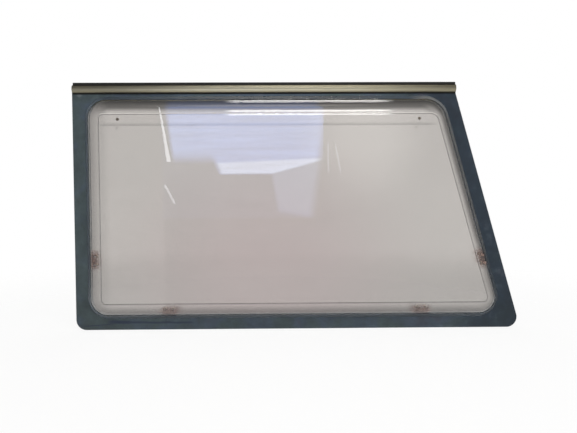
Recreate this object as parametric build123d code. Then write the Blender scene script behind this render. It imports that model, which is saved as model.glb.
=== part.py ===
from build123d import *
from math import asin, atan2, cos, pi, radians, sin, tan
import os

# Double-glazed caravan side window with one slanted side, in the closed position, in millimetres.
# X runs to the right as seen from the cabin, Y runs out of the caravan and Z runs up.
# The origin is on the cabin face of the hinge strip's flap, at the middle of its length and height.

# Outer pane: a flat acrylic sheet
pane_top_width = 831.5
pane_bottom_width = 980.0
pane_height = 522.6
pane_thickness = 4.0
pane_left_corner = 22.5
pane_right_corner = 22.5
pane_edge_round = 1.2

# Dark border coating on the cabin face of the outer pane
border_width = 35.0
border_bottom_width = 32.0
border_top_width = 20.0
border_thickness = 0.4

# Inner pane: an acrylic sheet formed into a dish towards the cabin
inner_thickness = 3.0
dish_depth = 25.5
dish_draft = 5.0
shoulder_radius = 20.0
dish_top_left_corner = 42.0
dish_top_right_corner = 50.0
dish_bottom_right_corner = 39.0
dish_bottom_left_corner = 40.0
flange_width = 6.5
flange_fillet = 2.5
ledge_land = 1.0

# Raised panel pressed into the middle of the inner pane
panel_rise = 1.1
panel_draft = 40.0
panel_left_inset = 28.7
panel_right_inset = 23.2
panel_top_inset = 33.8
panel_bottom_inset = 28.1
panel_corner = 12.0
panel_top_right_corner = 20.0

# Bond bead between the inner pane's flange and the border
bead_thickness = 0.5
bead_squeeze = 1.0

# Hinge strip: a flap, a neck and a round bead in the rail
rail_length = 830.0
rail_left_gap = 2.5
flap_height = 6.4
flap_thickness = 2.5
neck_thickness = 1.6
hinge_bead_radius = 3.4
hinge_clearance = 0.1
neck_clearance = 0.3
flap_clearance = 0.2

# Hinge rail: an aluminium extrusion over the top of the outer pane
rail_top_wall = 1.3
rail_web = 1.6
nose_height = 15.3
nose_bulge = 3.5
nose_wall = 1.6
front_leg_setback = 0.9
front_leg_thickness = 2.6
rear_leg_thickness = 1.8
rear_leg_height = 20.6
chamber_web = 1.2
rail_corner_round = 0.8
groove_count = 4
groove_spacing = 2.9
groove_radius = 0.4
pane_seat_gap = 0.5

# Glazing strip: rubber between the rail's front leg and the border
strip_thickness = 2.0
strip_lip_height = 3.2
strip_lip_reach = 1.7
strip_lip_bulge = 0.9

# Fixings for the catches and stays: a bonded block with two threaded inserts each
fixing_pitch = 17.5
left_catch_place = 173.5
right_catch_place = 179.0
stay_height = 123.5
catch_inset = 18.0
left_stay_inset = 17.0
right_stay_inset = 12.0
block_length = 44.0
block_width = 24.0
block_back_depth = 9.4
bond_gap = 0.15
insert_sides = 6
insert_across_flats = 6.0
insert_bore_radius = 2.0
insert_length = 7.0
insert_clearance = 0.05
screw_hole_radius = 2.6

# Vent plugs in the raised panel
vent_side_inset = 42.8
vent_top_inset = 12.5
vent_stem_radius = 2.4
vent_clearance = 0.1
vent_head_radius = 3.2
vent_head_thickness = 0.9
vent_head_bevel = 0.5
vent_stem_reach = 1.2

# Largest share of the room beside it that a fillet may take
fillet_share = 0.95

# Depths, along Y
strip_middle_y = flap_thickness / 2
front_leg_y = -front_leg_setback
border_face_y = front_leg_y + strip_thickness
pane_face_y = border_face_y + border_thickness
pane_back_y = pane_face_y + pane_thickness
nose_back_y = front_leg_y - front_leg_thickness
rail_back_y = pane_back_y + rear_leg_thickness
flange_back_y = border_face_y - bead_thickness
ledge_y = flange_back_y - dish_depth
panel_face_y = ledge_y - panel_rise
block_back_y = -block_back_depth

# Heights, along Z
rail_top_z = -flap_height / 2 - flap_clearance
nose_bottom_z = rail_top_z - nose_height
bore_radius = hinge_bead_radius + hinge_clearance
bore_z = rail_top_z - rail_top_wall - bore_radius
slot_top_z = bore_z - bore_radius - rail_web
pane_top_z = slot_top_z - pane_seat_gap
pane_bottom_z = pane_top_z - pane_height

# Widths, along X
pane_left_x = -rail_length / 2 - rail_left_gap
slant = atan2(pane_bottom_width - pane_top_width, pane_height)

towards_cabin = (0, -1, 0)

# Inward directions of the left, bottom, slanted right and top sides
inward_directions = (
    Vector(1, 0, 0),
    Vector(0, 0, 1),
    Vector(-cos(slant), 0, -sin(slant)),
    Vector(0, 0, -1),
)

# Formed edge of the inner pane: the shoulder is held to the room on the wall and in the tightest corner
draft = radians(dish_draft)
shoulder_reach = tan((pi / 2 - draft) / 2)
wall_room = fillet_share * (dish_depth - inner_thickness) / cos(draft) / shoulder_reach - flange_fillet
tightest_corner = min(
    dish_top_left_corner, dish_top_right_corner, dish_bottom_left_corner, dish_bottom_right_corner
)
corner_room = fillet_share * (tightest_corner - dish_depth * tan(draft) - ledge_land) / shoulder_reach
shoulder = min(shoulder_radius, wall_room, corner_room)
rim_width = dish_depth * tan(draft) + shoulder * shoulder_reach + ledge_land

# Step up to the raised panel
step_run = panel_rise * tan(radians(panel_draft))
step_shift = inner_thickness * tan((pi / 2 - radians(panel_draft)) / 2)
step_width = step_run + step_shift


def slanted_x(z, inset=0.0):
    """X of the slanted side at height z, with the side moved inwards, square to itself, by inset."""
    return pane_left_x + pane_top_width + (pane_top_z - z) * tan(slant) - inset / cos(slant)


def depth_plane(y):
    """The window's plane at depth y, drawn with X to the right and Z up."""
    return Plane(origin=(0, y, 0), x_dir=(1, 0, 0), z_dir=towards_cabin)


def window_outline(y, sides, corners):
    """A face like the pane, at depth y, with its sides moved inwards and its corners rounded.

    Sides come in the order left, bottom, right, top, and the corner after each side follows the same order.
    """
    face = make_face(Polyline(*outline_corners(sides), close=True))
    for point, radius in zip(outline_corners(sides), corners):
        if radius > 0:
            corner = face.vertices().sort_by_distance(Vector(*point))[0]
            face = fillet(corner, radius)
    return depth_plane(y) * face


def outline_corners(sides):
    """X and Z of the four corners of the pane with its sides moved inwards: the corner after each side."""
    left, bottom, right, top = sides
    left_x = pane_left_x + left
    bottom_z = pane_bottom_z + bottom
    top_z = pane_top_z - top
    return [
        (left_x, bottom_z),
        (slanted_x(bottom_z, right), bottom_z),
        (slanted_x(top_z, right), top_z),
        (left_x, top_z),
    ]


def along_side(inwards):
    """The direction along a side, anticlockwise as seen from the cabin, from its inward direction."""
    return Vector(inwards.Z, 0, -inwards.X)


def section_plane(x, y, z, inwards):
    """A plane across a side, with its X inwards and its Y towards the cabin."""
    return Plane(origin=(x, y, z), x_dir=inwards, z_dir=along_side(inwards))


def carried_round(section, y, sides, corners):
    """A section carried round an outline at depth y: turned about each corner, straight along each side.

    The section is drawn with X inwards from the outline and Y towards the cabin.
    """
    centres = []
    for number, radius in enumerate(corners):
        x, z = outline_corners([side + radius for side in sides])[number]
        centres.append(Vector(x, y, z))
    band = Part()
    for number, centre in enumerate(centres):
        before = inward_directions[number]
        after = inward_directions[(number + 1) % len(centres)]
        radius = corners[number]
        start = centre - before * radius
        turn = Axis(centre, towards_cabin)
        band += revolve(section_plane(*start, before) * section, turn, before.get_angle(after))
        next_number = (number + 1) % len(centres)
        corner_end = centre - after * radius
        side_end = centres[next_number] - after * corners[next_number]
        band += extrude(section_plane(*corner_end, after) * section, (side_end - corner_end).length)
    return band


def pane_outline(y):
    """The outer pane's outline: square where the rail covers it, rounded at the bottom."""
    return window_outline(y, (0, 0, 0, 0), (pane_left_corner, pane_right_corner, 0, 0))


def foot_sides(growth):
    """How far the foot of the dish lies inside the pane's sides when it is grown outwards."""
    side = border_width - growth
    return side, border_bottom_width - growth, side, border_top_width - growth


def foot_corners(growth):
    """Corner radii of the foot of the dish when it is grown outwards."""
    corners = (
        dish_bottom_left_corner,
        dish_bottom_right_corner,
        dish_top_right_corner,
        dish_top_left_corner,
    )
    return [corner + growth for corner in corners]


def foot_outline(y, growth):
    """The foot of the dish, inside the border, grown outwards on every side."""
    return window_outline(y, foot_sides(growth), foot_corners(growth))


def panel_sides(inset):
    """How far the raised panel's edge lies inside the pane's sides."""
    return (
        border_width + panel_left_inset + inset,
        border_bottom_width + panel_bottom_inset + inset,
        border_width + panel_right_inset + inset,
        border_top_width + panel_top_inset + inset,
    )


def panel_corners(inset):
    """Corner radii of the raised panel."""
    corners = (panel_corner, panel_corner, panel_top_right_corner, panel_corner)
    return [corner - inset for corner in corners]


def along_rail(section):
    """A section drawn with Y to the right and Z up, carried along the rail."""
    return extrude(Plane.YZ * section, rail_length / 2, both=True)


def outer_pane():
    sheet = extrude(pane_outline(pane_back_y), pane_thickness, dir=towards_cabin)
    weather_edges = sheet.faces().sort_by(Axis.Y)[-1].edges()
    return fillet(weather_edges, min(pane_edge_round, fillet_share * pane_thickness))


def border_coating():
    sheet = extrude(pane_outline(pane_face_y), border_thickness, dir=towards_cabin)
    clear_view = extrude(foot_outline(pane_face_y, 0), border_thickness, dir=towards_cabin)
    return sheet - clear_view


def bond_bead():
    bond = foot_outline(border_face_y, flange_width + bead_squeeze) - foot_outline(border_face_y, 0)
    return extrude(bond, bead_thickness, dir=towards_cabin)


def formed_face(gap):
    """The inner pane's face towards the sealed space, held off by gap, from its wall's foot to its ledge."""
    depth = dish_depth - inner_thickness - gap
    foot = (inner_thickness + gap) / cos(draft)
    corner = (foot + depth * tan(draft), depth)
    return FilletPolyline((foot, 0), corner, (block_width, depth), radius=shoulder - inner_thickness - gap)


def rim_section():
    """The formed edge of the inner pane: flange, fillet, drafted wall, round shoulder and ledge."""
    space_depth = dish_depth - inner_thickness
    wall_foot = inner_thickness / cos(draft)
    cabin_face = FilletPolyline(
        (-flange_width, inner_thickness),
        (inner_thickness * tan(draft), inner_thickness),
        (dish_depth * tan(draft), dish_depth),
        (rim_width, dish_depth),
        radius=[flange_fillet, shoulder],
    )
    space_face = FilletPolyline(
        (-flange_width, 0),
        (wall_foot, 0),
        (wall_foot + space_depth * tan(draft), space_depth),
        (rim_width, space_depth),
        radius=[flange_fillet + inner_thickness, shoulder - inner_thickness],
    )
    flange_edge = Line((-flange_width, 0), (-flange_width, inner_thickness))
    ledge_edge = Line((rim_width, space_depth), (rim_width, dish_depth))
    return make_face(cabin_face + space_face + [flange_edge, ledge_edge])


def step_section():
    """The step from the ledge up to the raised panel, at the sheet's own thickness."""
    return make_face(
        Polyline(
            (0, 0),
            (step_run, panel_rise),
            (step_width, panel_rise),
            (step_width, panel_rise - inner_thickness),
            (step_shift, -inner_thickness),
            (0, -inner_thickness),
            close=True,
        )
    )


def inner_pane():
    rim = carried_round(rim_section(), flange_back_y, foot_sides(0), foot_corners(0))
    ledge_back_y = ledge_y + inner_thickness
    panel_gap = window_outline(ledge_back_y, panel_sides(0), panel_corners(0))
    ledge = extrude(foot_outline(ledge_back_y, -rim_width) - panel_gap, inner_thickness, dir=towards_cabin)
    step = carried_round(step_section(), ledge_y, panel_sides(0), panel_corners(0))
    panel_back_y = panel_face_y + inner_thickness
    panel = window_outline(panel_back_y, panel_sides(step_width), panel_corners(step_width))
    panel = extrude(panel, inner_thickness, dir=towards_cabin)
    sheet = rim + ledge + step + panel
    for _, *place in fixings():
        for screw in screw_places(*place):
            sheet -= screw * extrude(Circle(screw_hole_radius), block_back_y - panel_face_y)
    for x, z in vent_centres():
        bore = extrude(Circle(vent_stem_radius + vent_clearance), inner_thickness)
        sheet -= depth_plane(panel_back_y) * Pos(x, z, 0) * bore
    return sheet


def vent_centres():
    """X and Z of the two vent plugs, set in from the raised panel's sides."""
    z = pane_top_z - border_top_width - panel_top_inset - vent_top_inset
    left_x = pane_left_x + border_width + panel_left_inset + vent_side_inset
    right_x = slanted_x(z, border_width + panel_right_inset) - vent_side_inset
    return (left_x, z), (right_x, z)


def vent_plug(x, z):
    """A push-in plug: a stem through the panel and a bevelled head on its cabin face."""
    stem_length = inner_thickness + vent_stem_reach
    stem = Pos(0, 0, -stem_length) * extrude(Circle(vent_stem_radius), stem_length)
    head = extrude(Circle(vent_head_radius), vent_head_thickness)
    crown = head.faces().sort_by(Axis.Z)[-1].edges()
    head = chamfer(crown, min(vent_head_bevel, fillet_share * vent_head_thickness))
    return depth_plane(panel_face_y) * Pos(x, z, 0) * (stem + head)


def fixings():
    """Each pair of fixings: its name, its place on the foot of the dish, the way inwards and its inset."""
    into_left, into_bottom, into_right = inward_directions[:3]
    foot_left_x = pane_left_x + border_width
    foot_bottom_z = pane_bottom_z + border_bottom_width
    foot_right_x = slanted_x(foot_bottom_z, border_width)
    stay_z = foot_bottom_z + stay_height
    slanted_foot_z = stay_z + right_stay_inset * sin(slant)
    left_catch_foot = Vector(foot_left_x + left_catch_place, 0, foot_bottom_z)
    right_catch_foot = Vector(foot_right_x - right_catch_place, 0, foot_bottom_z)
    left_stay_foot = Vector(foot_left_x, 0, stay_z)
    right_stay_foot = Vector(slanted_x(slanted_foot_z, border_width), 0, slanted_foot_z)
    return [
        ("left_catch", left_catch_foot, into_bottom, catch_inset),
        ("right_catch", right_catch_foot, into_bottom, catch_inset),
        ("left_stay", left_stay_foot, into_left, left_stay_inset),
        ("right_stay", right_stay_foot, into_right, right_stay_inset),
    ]


def screw_places(foot, inwards, inset):
    """A place for each of a fixing's two screws, at the block's back, pointing towards the cabin."""
    middle = Plane(origin=foot + inwards * inset, x_dir=along_side(inwards), z_dir=towards_cabin)
    return [middle * Pos(side * fixing_pitch / 2, 0, -block_back_y) for side in (-1, 1)]


def fixing_block(foot, inwards, inset):
    """A block that fills the corner behind the dish's shoulder, with a seat for each of its two inserts."""
    face = formed_face(bond_gap)
    corner = (block_width, 0)
    space = make_face(face + [Line(face @ 1, corner), Line(corner, face @ 0)])
    behind = flange_back_y - block_back_y
    empty = Pos(block_width / 2, behind / 2) * Rectangle(block_width, behind)
    across = section_plane(foot.X, flange_back_y, foot.Z, inwards)
    block = extrude(across * (space - empty), block_length / 2, both=True)
    for screw in screw_places(foot, inwards, inset):
        block -= screw * extrude(insert_outline(insert_clearance), block_back_y - panel_face_y)
    return block


def insert_outline(clearance):
    """The insert's outline, which keeps it from turning in its seat, held off by a clearance."""
    return RegularPolygon(insert_across_flats / 2 + clearance, insert_sides, major_radius=False)


def fixing_insert(screw):
    """A threaded insert put in from the block's back, flush with it."""
    return screw * extrude(insert_outline(0) - Circle(insert_bore_radius), insert_length)


def hinge_rail():
    nose_middle_z = (rail_top_z + nose_bottom_z) / 2
    nose_front = (nose_back_y - nose_bulge, nose_middle_z)
    nose = ThreePointArc((nose_back_y, rail_top_z), nose_front, (nose_back_y, nose_bottom_z))
    back = Polyline(
        (nose_back_y, nose_bottom_z),
        (front_leg_y, nose_bottom_z),
        (front_leg_y, slot_top_z),
        (pane_back_y, slot_top_z),
        (pane_back_y, rail_top_z - rear_leg_height),
        (rail_back_y, rail_top_z - rear_leg_height),
        (rail_back_y, rail_top_z),
        (nose_back_y, rail_top_z),
    )
    section = make_face(nose + back)
    rear_corner = section.vertices().sort_by_distance(Vector(rail_back_y, rail_top_z))[0]
    section = fillet(rear_corner, rail_corner_round)
    bore = Pos(strip_middle_y, bore_z) * Circle(bore_radius)
    neck_slot_width = neck_thickness + 2 * neck_clearance
    neck_slot = Rectangle(neck_slot_width, rail_top_z - bore_z)
    neck_slot = Pos(strip_middle_y, (rail_top_z + bore_z) / 2) * neck_slot
    half = nose_height / 2
    nose_radius = (half**2 + nose_bulge**2) / (2 * nose_bulge)
    nose_centre_y = nose_front[0] + nose_radius
    chamber_back_y = strip_middle_y - bore_radius - chamber_web
    chamber_front = Pos(nose_centre_y, nose_middle_z) * Circle(nose_radius - nose_wall)
    chamber_side = Pos(chamber_back_y - nose_radius, nose_middle_z) * Rectangle(2 * nose_radius, nose_height)
    section = section - bore - neck_slot - (chamber_front & chamber_side)
    groove_step = 2 * asin(groove_spacing / 2 / nose_radius)
    for number in range(groove_count):
        angle = (number - (groove_count - 1) / 2) * groove_step
        groove_y = nose_centre_y - nose_radius * cos(angle)
        groove_z = nose_middle_z + nose_radius * sin(angle)
        section = section - Pos(groove_y, groove_z) * Circle(groove_radius)
    return along_rail(section)


def hinge_strip():
    flap = Pos(strip_middle_y, 0) * Rectangle(flap_thickness, flap_height)
    neck_height = -flap_height / 2 - bore_z
    neck = Pos(strip_middle_y, bore_z + neck_height / 2) * Rectangle(neck_thickness, neck_height)
    bead = Pos(strip_middle_y, bore_z) * Circle(hinge_bead_radius)
    return along_rail(flap + neck + bead)


def glazing_strip():
    lip_front = (front_leg_y - strip_lip_reach, nose_bottom_z)
    lip_foot = (border_face_y, nose_bottom_z - strip_lip_height)
    chord_y = lip_foot[0] - lip_front[0]
    chord_z = lip_foot[1] - lip_front[1]
    chord = (chord_y**2 + chord_z**2) ** 0.5
    middle_y = (lip_front[0] + lip_foot[0]) / 2 + strip_lip_bulge * chord_z / chord
    middle_z = (lip_front[1] + lip_foot[1]) / 2 - strip_lip_bulge * chord_y / chord
    lip = ThreePointArc(lip_front, (middle_y, middle_z), lip_foot)
    back = Polyline(
        lip_foot,
        (border_face_y, pane_top_z),
        (front_leg_y, pane_top_z),
        (front_leg_y, nose_bottom_z),
        lip_front,
    )
    return along_rail(make_face(lip + back))


def window_pieces():
    """Every piece of the window, by name."""
    pieces = {
        "outer_pane": outer_pane(),
        "border_coating": border_coating(),
        "bond_bead": bond_bead(),
        "inner_pane": inner_pane(),
        "hinge_rail": hinge_rail(),
        "hinge_strip": hinge_strip(),
        "glazing_strip": glazing_strip(),
    }
    for name, *place in fixings():
        pieces[f"{name}_block"] = fixing_block(*place)
        for number, screw in enumerate(screw_places(*place), start=1):
            pieces[f"{name}_insert_{number}"] = fixing_insert(screw)
    for side, (x, z) in zip(("left", "right"), vent_centres()):
        pieces[f"{side}_vent_plug"] = vent_plug(x, z)
    return pieces


os.makedirs("parts", exist_ok=True)
for piece_name, piece in window_pieces().items():
    export_step(piece, f"parts/{piece_name}.step")
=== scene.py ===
"""Surfaces and finishes of a double-glazed caravan side window, with its studio stage.

All sizes are in metres.
"""

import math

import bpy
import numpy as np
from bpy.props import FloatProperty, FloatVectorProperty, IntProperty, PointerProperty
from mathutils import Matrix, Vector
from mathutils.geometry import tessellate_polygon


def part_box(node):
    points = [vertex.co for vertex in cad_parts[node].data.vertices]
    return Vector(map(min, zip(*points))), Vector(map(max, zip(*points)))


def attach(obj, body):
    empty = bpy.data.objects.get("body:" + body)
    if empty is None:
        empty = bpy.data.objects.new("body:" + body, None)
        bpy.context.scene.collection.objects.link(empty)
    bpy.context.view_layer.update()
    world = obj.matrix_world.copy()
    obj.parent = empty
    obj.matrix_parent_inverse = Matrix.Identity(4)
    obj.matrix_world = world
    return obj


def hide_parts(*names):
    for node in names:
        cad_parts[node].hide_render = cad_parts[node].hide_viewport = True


bl_info = {
    "name": "Caravan Side Window",
    "version": (1, 0, 0),
    "blender": (4, 5, 0),
    "location": "3D View > Sidebar > Window",
    "description": "Builds the sheets, rail, strips and fixings of a caravan side window",
    "category": "Add Mesh",
}

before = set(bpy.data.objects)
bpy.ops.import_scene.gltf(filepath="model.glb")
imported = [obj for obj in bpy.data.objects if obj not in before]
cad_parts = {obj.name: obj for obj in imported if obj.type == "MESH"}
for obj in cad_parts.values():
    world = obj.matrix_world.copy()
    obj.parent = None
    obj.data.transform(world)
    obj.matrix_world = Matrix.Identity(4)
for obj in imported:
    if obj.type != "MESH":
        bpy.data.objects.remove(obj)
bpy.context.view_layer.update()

MM = 0.001
BODY = "root"
ARC_STEPS = 26
SIDE_STEPS = 40
SMOOTH_UP_TO = math.radians(32)
SUNK = 0.02 * MM  # how far faces that touch lie inside each other
SIDEWAYS = np.array([1.0, 0.0])
LIT_X = 40 * MM  # where along the window its top is lit the most
WHITE = (1.0, 1.0, 1.0, 1.0)
FIXINGS = ("left_catch", "right_catch", "left_stay", "right_stay")


# Places read from the frame


def node_points(node):
    """All the points of a solid of the frame, one row each."""
    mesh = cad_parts[node].data
    points = np.empty(len(mesh.vertices) * 3, np.float32)
    mesh.vertices.foreach_get("co", points)
    return points.reshape(-1, 3).astype(float)


def slanted_side(points):
    """The top right corner of the pane and the slope of its slanted side.

    The slope is the steepest run to the right, per drop, from the top corner to any point well below it.
    """
    top = points[:, 2].max()
    corner_x = points[points[:, 2] > top - 0.01 * MM, 0].max()
    lower = points[points[:, 2] < top - 50 * MM]
    return corner_x, np.max((lower[:, 0] - corner_x) / (top - lower[:, 2]))


pane_low, pane_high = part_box("outer_pane")
border_low, border_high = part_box("border_coating")
dish_low, dish_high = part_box("inner_pane")
rail_low, rail_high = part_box("hinge_rail")
flap_low, flap_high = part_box("hinge_strip")
strip_low, strip_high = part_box("glazing_strip")
top_right_x, side_slope = slanted_side(node_points("outer_pane"))
slant = math.atan(side_slope)


# Settings


def length(name, description, default):
    """A size in metres that a user may change."""
    return FloatProperty(name=name, description=description, default=default, unit="LENGTH", precision=4)


def lengths(name, description, default):
    """Four sizes in metres, one for each side or corner, that a user may change."""
    return FloatVectorProperty(
        name=name, description=description, default=default, size=4, unit="LENGTH", precision=4
    )


def colour(name, description, default):
    """A colour that a user may change."""
    return FloatVectorProperty(
        name=name,
        description=description,
        default=(*default, 1.0),
        size=4,
        subtype="COLOR",
        min=0.0,
        max=1.0,
    )


def tilt(name, description, default):
    """An angle in radians that a user may change."""
    return FloatProperty(name=name, description=description, default=default, subtype="ANGLE")


def amount(name, description, default):
    """A plain number that a user may change."""
    return FloatProperty(name=name, description=description, default=default)


def triple(name, description, default, subtype):
    """A place or a way that a user may change."""
    return FloatVectorProperty(name=name, description=description, default=default, subtype=subtype)


class WindowSheets(bpy.types.PropertyGroup):
    """Sizes of the two acrylic sheets and of the bond bead between them."""

    pane_corners: lengths(
        "Pane corners",
        "Outer sheet's corner radii: bottom left, bottom right, top right, top left",
        (22.5 * MM, 22.5 * MM, 1.8 * MM, 1.8 * MM),
    )
    weather_edge: length("Weather edge", "Round on the outer sheet's weather edge", 1.2 * MM)
    inner_thickness: length("Inner thickness", "Thickness of the formed inner sheet", 3 * MM)
    flange_width: length("Flange width", "Width of the inner sheet's bonding flange", 6.5 * MM)
    flange_fillet: length("Flange fillet", "Round where the flange turns into the wall", 2.5 * MM)
    shoulder_radius: length("Shoulder radius", "Round where the wall turns into the face", 20 * MM)
    dish_draft: tilt("Dish draft", "Lean of the formed wall", math.radians(5))
    dish_corners: lengths(
        "Dish corners",
        "Corner radii of the dish's foot: bottom left, bottom right, top right, top left",
        (40 * MM, 39 * MM, 50 * MM, 42 * MM),
    )
    panel_insets: lengths(
        "Panel insets",
        "Raised panel's distance inside the dish's foot: left, bottom, right, top",
        (28.7 * MM, 28.1 * MM, 23.2 * MM, 33.8 * MM),
    )
    panel_corners: lengths(
        "Panel corners",
        "Corner radii of the raised panel: bottom left, bottom right, top right, top left",
        (12 * MM, 12 * MM, 20 * MM, 12 * MM),
    )
    panel_rise: length("Panel rise", "Height of the raised panel", 1.1 * MM)
    panel_run: length("Panel run", "Width of the slope up to the raised panel", 0.92 * MM)
    bead_squeeze: length("Bead squeeze", "How far the bond bead shows beyond the flange", 1.0 * MM)


class WindowHinge(bpy.types.PropertyGroup):
    """Sizes of the hinge rail and its two strips."""

    nose_bulge: length("Nose bulge", "How far the rail's round nose stands out", 3.5 * MM)
    nose_wall: length("Nose wall", "Wall in front of the rail's hollow chamber", 1.6 * MM)
    nose_height: length("Nose height", "Height of the rail's round nose", 15.3 * MM)
    rib_count: IntProperty(name="Ribs", description="Grooves along the rail's nose", default=4, min=0)
    rib_spacing: length("Rib spacing", "Distance between the grooves", 2.9 * MM)
    rib_depth: length("Rib depth", "Depth of the grooves", 0.4 * MM)
    bore_radius: length("Bore radius", "Radius of the bore that holds the strip's bead", 3.5 * MM)
    top_wall: length("Top wall", "Wall over the bore", 1.3 * MM)
    slot_web: length("Slot web", "Wall between the bore and the sheet's slot", 1.6 * MM)
    bead_radius: length("Bead radius", "Radius of the hinge strip's bead", 3.4 * MM)
    neck_thickness: length("Neck thickness", "Thickness of the hinge strip's neck", 1.6 * MM)
    neck_clearance: length("Neck clearance", "Room beside the neck in the rail", 0.3 * MM)
    flap_thickness: length("Flap thickness", "Thickness of the hinge strip's flap", 2.5 * MM)
    flap_height: length("Flap height", "Height of the hinge strip's flap", 6.4 * MM)
    strip_waviness: length("Strip waviness", "How far the old hinge strip wanders", 0.12 * MM)


class WindowFixings(bpy.types.PropertyGroup):
    """Sizes of the bonded blocks, threaded inserts and vent plugs."""

    screw_hole_radius: length("Screw hole", "Radius of the screw holes in the inner sheet", 2.6 * MM)
    vent_hole_radius: length("Vent hole", "Radius of the vent holes in the inner sheet", 2.5 * MM)
    block_length: length("Block length", "Length of a fixing block", 44 * MM)
    block_width: length("Block width", "Reach of a fixing block from the dish's foot", 24 * MM)
    insert_across: length("Insert width", "Threaded insert's width across its flats", 6 * MM)
    seat_clearance: length("Seat clearance", "Room round an insert in its seat", 0.05 * MM)
    insert_bore: length("Insert bore", "Radius inside an insert's thread", 2 * MM)
    thread_pitch: length("Thread pitch", "Pitch of the thread", 0.8 * MM)
    thread_depth: length("Thread depth", "Depth of the thread", 0.4 * MM)


class WindowColours(bpy.types.PropertyGroup):
    """Colours of the finishes."""

    acrylic: colour("Acrylic", "Tint of one acrylic sheet", (0.725, 0.71, 0.69))
    glue: colour("Glue", "Glue stains on the acrylic beside the fixings", (0.24, 0.13, 0.12))
    border: colour("Border", "Matte border coating", (0.050, 0.069, 0.092))
    border_green: colour("Border green", "Greenish patches of the border", (0.048, 0.067, 0.070))
    border_mauve: colour("Border mauve", "Purplish patches of the border", (0.064, 0.068, 0.088))
    border_navy: colour("Border navy", "Darker slanted side of the border", (0.031, 0.055, 0.083))
    border_streak: colour("Border streak", "Dark streaks on the border", (0.016, 0.024, 0.042))
    border_scuff: colour("Border scuff", "Pale scuffs on the border", (0.16, 0.18, 0.19))
    adhesive: colour("Adhesive", "Bond bead", (0.050, 0.066, 0.080))
    # Painted light: the paler bead beside the slanted wall
    adhesive_pale: colour("Pale adhesive", "Bond bead at the slanted wall", (0.16, 0.158, 0.15))
    anodised: colour("Anodised rail", "Champagne anodised aluminium", (0.34, 0.31, 0.215))
    rubber: colour("Rubber", "Hinge strip and glazing strip", (0.014, 0.013, 0.009))
    resin: colour("Resin", "Fixing blocks", (0.40, 0.27, 0.22))
    resin_vein: colour("Resin vein", "Dark veins in the fixing blocks", (0.13, 0.065, 0.055))
    # The specks are painted glints that stand in for highlights in the blocks
    resin_glint: colour("Resin speck", "Bubbles in the fixing blocks", (0.85, 0.78, 0.72))
    brass: colour("Brass", "Threaded inserts", (0.66, 0.60, 0.50))
    plug: colour("Vent plug", "Vent plugs", (0.110, 0.092, 0.074))


class WindowStage(bpy.types.PropertyGroup):
    """Camera, lights and backdrop."""

    eye: triple("Eye", "Place of the camera", (0.0395, -1.0292, -0.2555), "TRANSLATION")
    look: triple("Look", "Way the camera looks", (0.01023, 0.99943, -0.0322), "DIRECTION")
    roll: tilt("Roll", "Turn of the camera about its view", -0.0051)
    lens: amount("Lens", "Focal length in millimetres", 29.32)
    ambient: amount("Ambient", "Even light on the matte surfaces", 0.70)
    key_radiance: amount("Key light", "Radiance of the key light", 10.0)
    card_radiance: amount("Room window", "Radiance of the room's window", 7.0)
    overhead_radiance: amount("Overhead light", "Radiance of the light overhead", 8.5)
    backdrop_glow: amount("Backdrop glow", "Radiance of the backdrop", 1.118)
    backdrop: colour("Backdrop", "Sheet behind the panes", (0.935, 0.925, 0.93))
    backdrop_shade: colour("Backdrop shade", "Rosy shade low on the backdrop", (0.87, 0.785, 0.81))
    backdrop_stain: colour("Backdrop stain", "Reddish stain behind the fixings", (0.36, 0.24, 0.22))


class WindowSettings(bpy.types.PropertyGroup):
    """Everything that a user may change about the window."""

    sheets: PointerProperty(type=WindowSheets)
    hinge: PointerProperty(type=WindowHinge)
    fixings: PointerProperty(type=WindowFixings)
    colours: PointerProperty(type=WindowColours)
    stage: PointerProperty(type=WindowStage)


# Shapes as whole arrays


def filleted(corners, radii, steps=8):
    """A run of straight lines with its inner corners rounded.

    At a corner the arc's tangent points lie radius / tan(half the angle between its lines) along both
    lines, its centre lies radius / sin(half that angle) along their bisector, and its points turn evenly
    about the centre.
    """
    corners = np.asarray(corners, float)
    run = [corners[:1]]
    for before, corner, after, radius in zip(corners, corners[1:], corners[2:], radii):
        back = (before - corner) / np.linalg.norm(before - corner)
        on = (after - corner) / np.linalg.norm(after - corner)
        half = math.acos(np.clip(back @ on, -1, 1)) / 2
        bisector = (back + on) / np.linalg.norm(back + on)
        centre = corner + bisector * radius / math.sin(half)
        start = corner + back * radius / math.tan(half) - centre
        side = corner + on * radius / math.tan(half) - centre
        turn = math.pi - 2 * half
        share = np.linspace(0, 1, steps + 1)[:, None]
        arc = (np.sin((1 - share) * turn) * start + np.sin(share * turn) * side) / math.sin(turn)
        run.append(centre + arc)
    run.append(corners[-1:])
    return np.concatenate(run)


def side_lines(insets):
    """The left, bottom, slanted right and top sides, moved inwards by their insets, as lines.

    Each is direction . point = distance. The angles of the inward directions end with the first again.
    """
    angles = np.array([0, math.pi / 2, math.pi + slant, 1.5 * math.pi, 2 * math.pi])
    directions = np.stack([np.cos(angles[:4]), np.sin(angles[:4])], axis=1)
    on_sides = np.array([pane_low.xz, pane_low.xz, (top_right_x, pane_high.z), pane_high.xz])
    distances = (directions * on_sides).sum(axis=1) + np.asarray(insets)
    return angles, directions, distances


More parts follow.
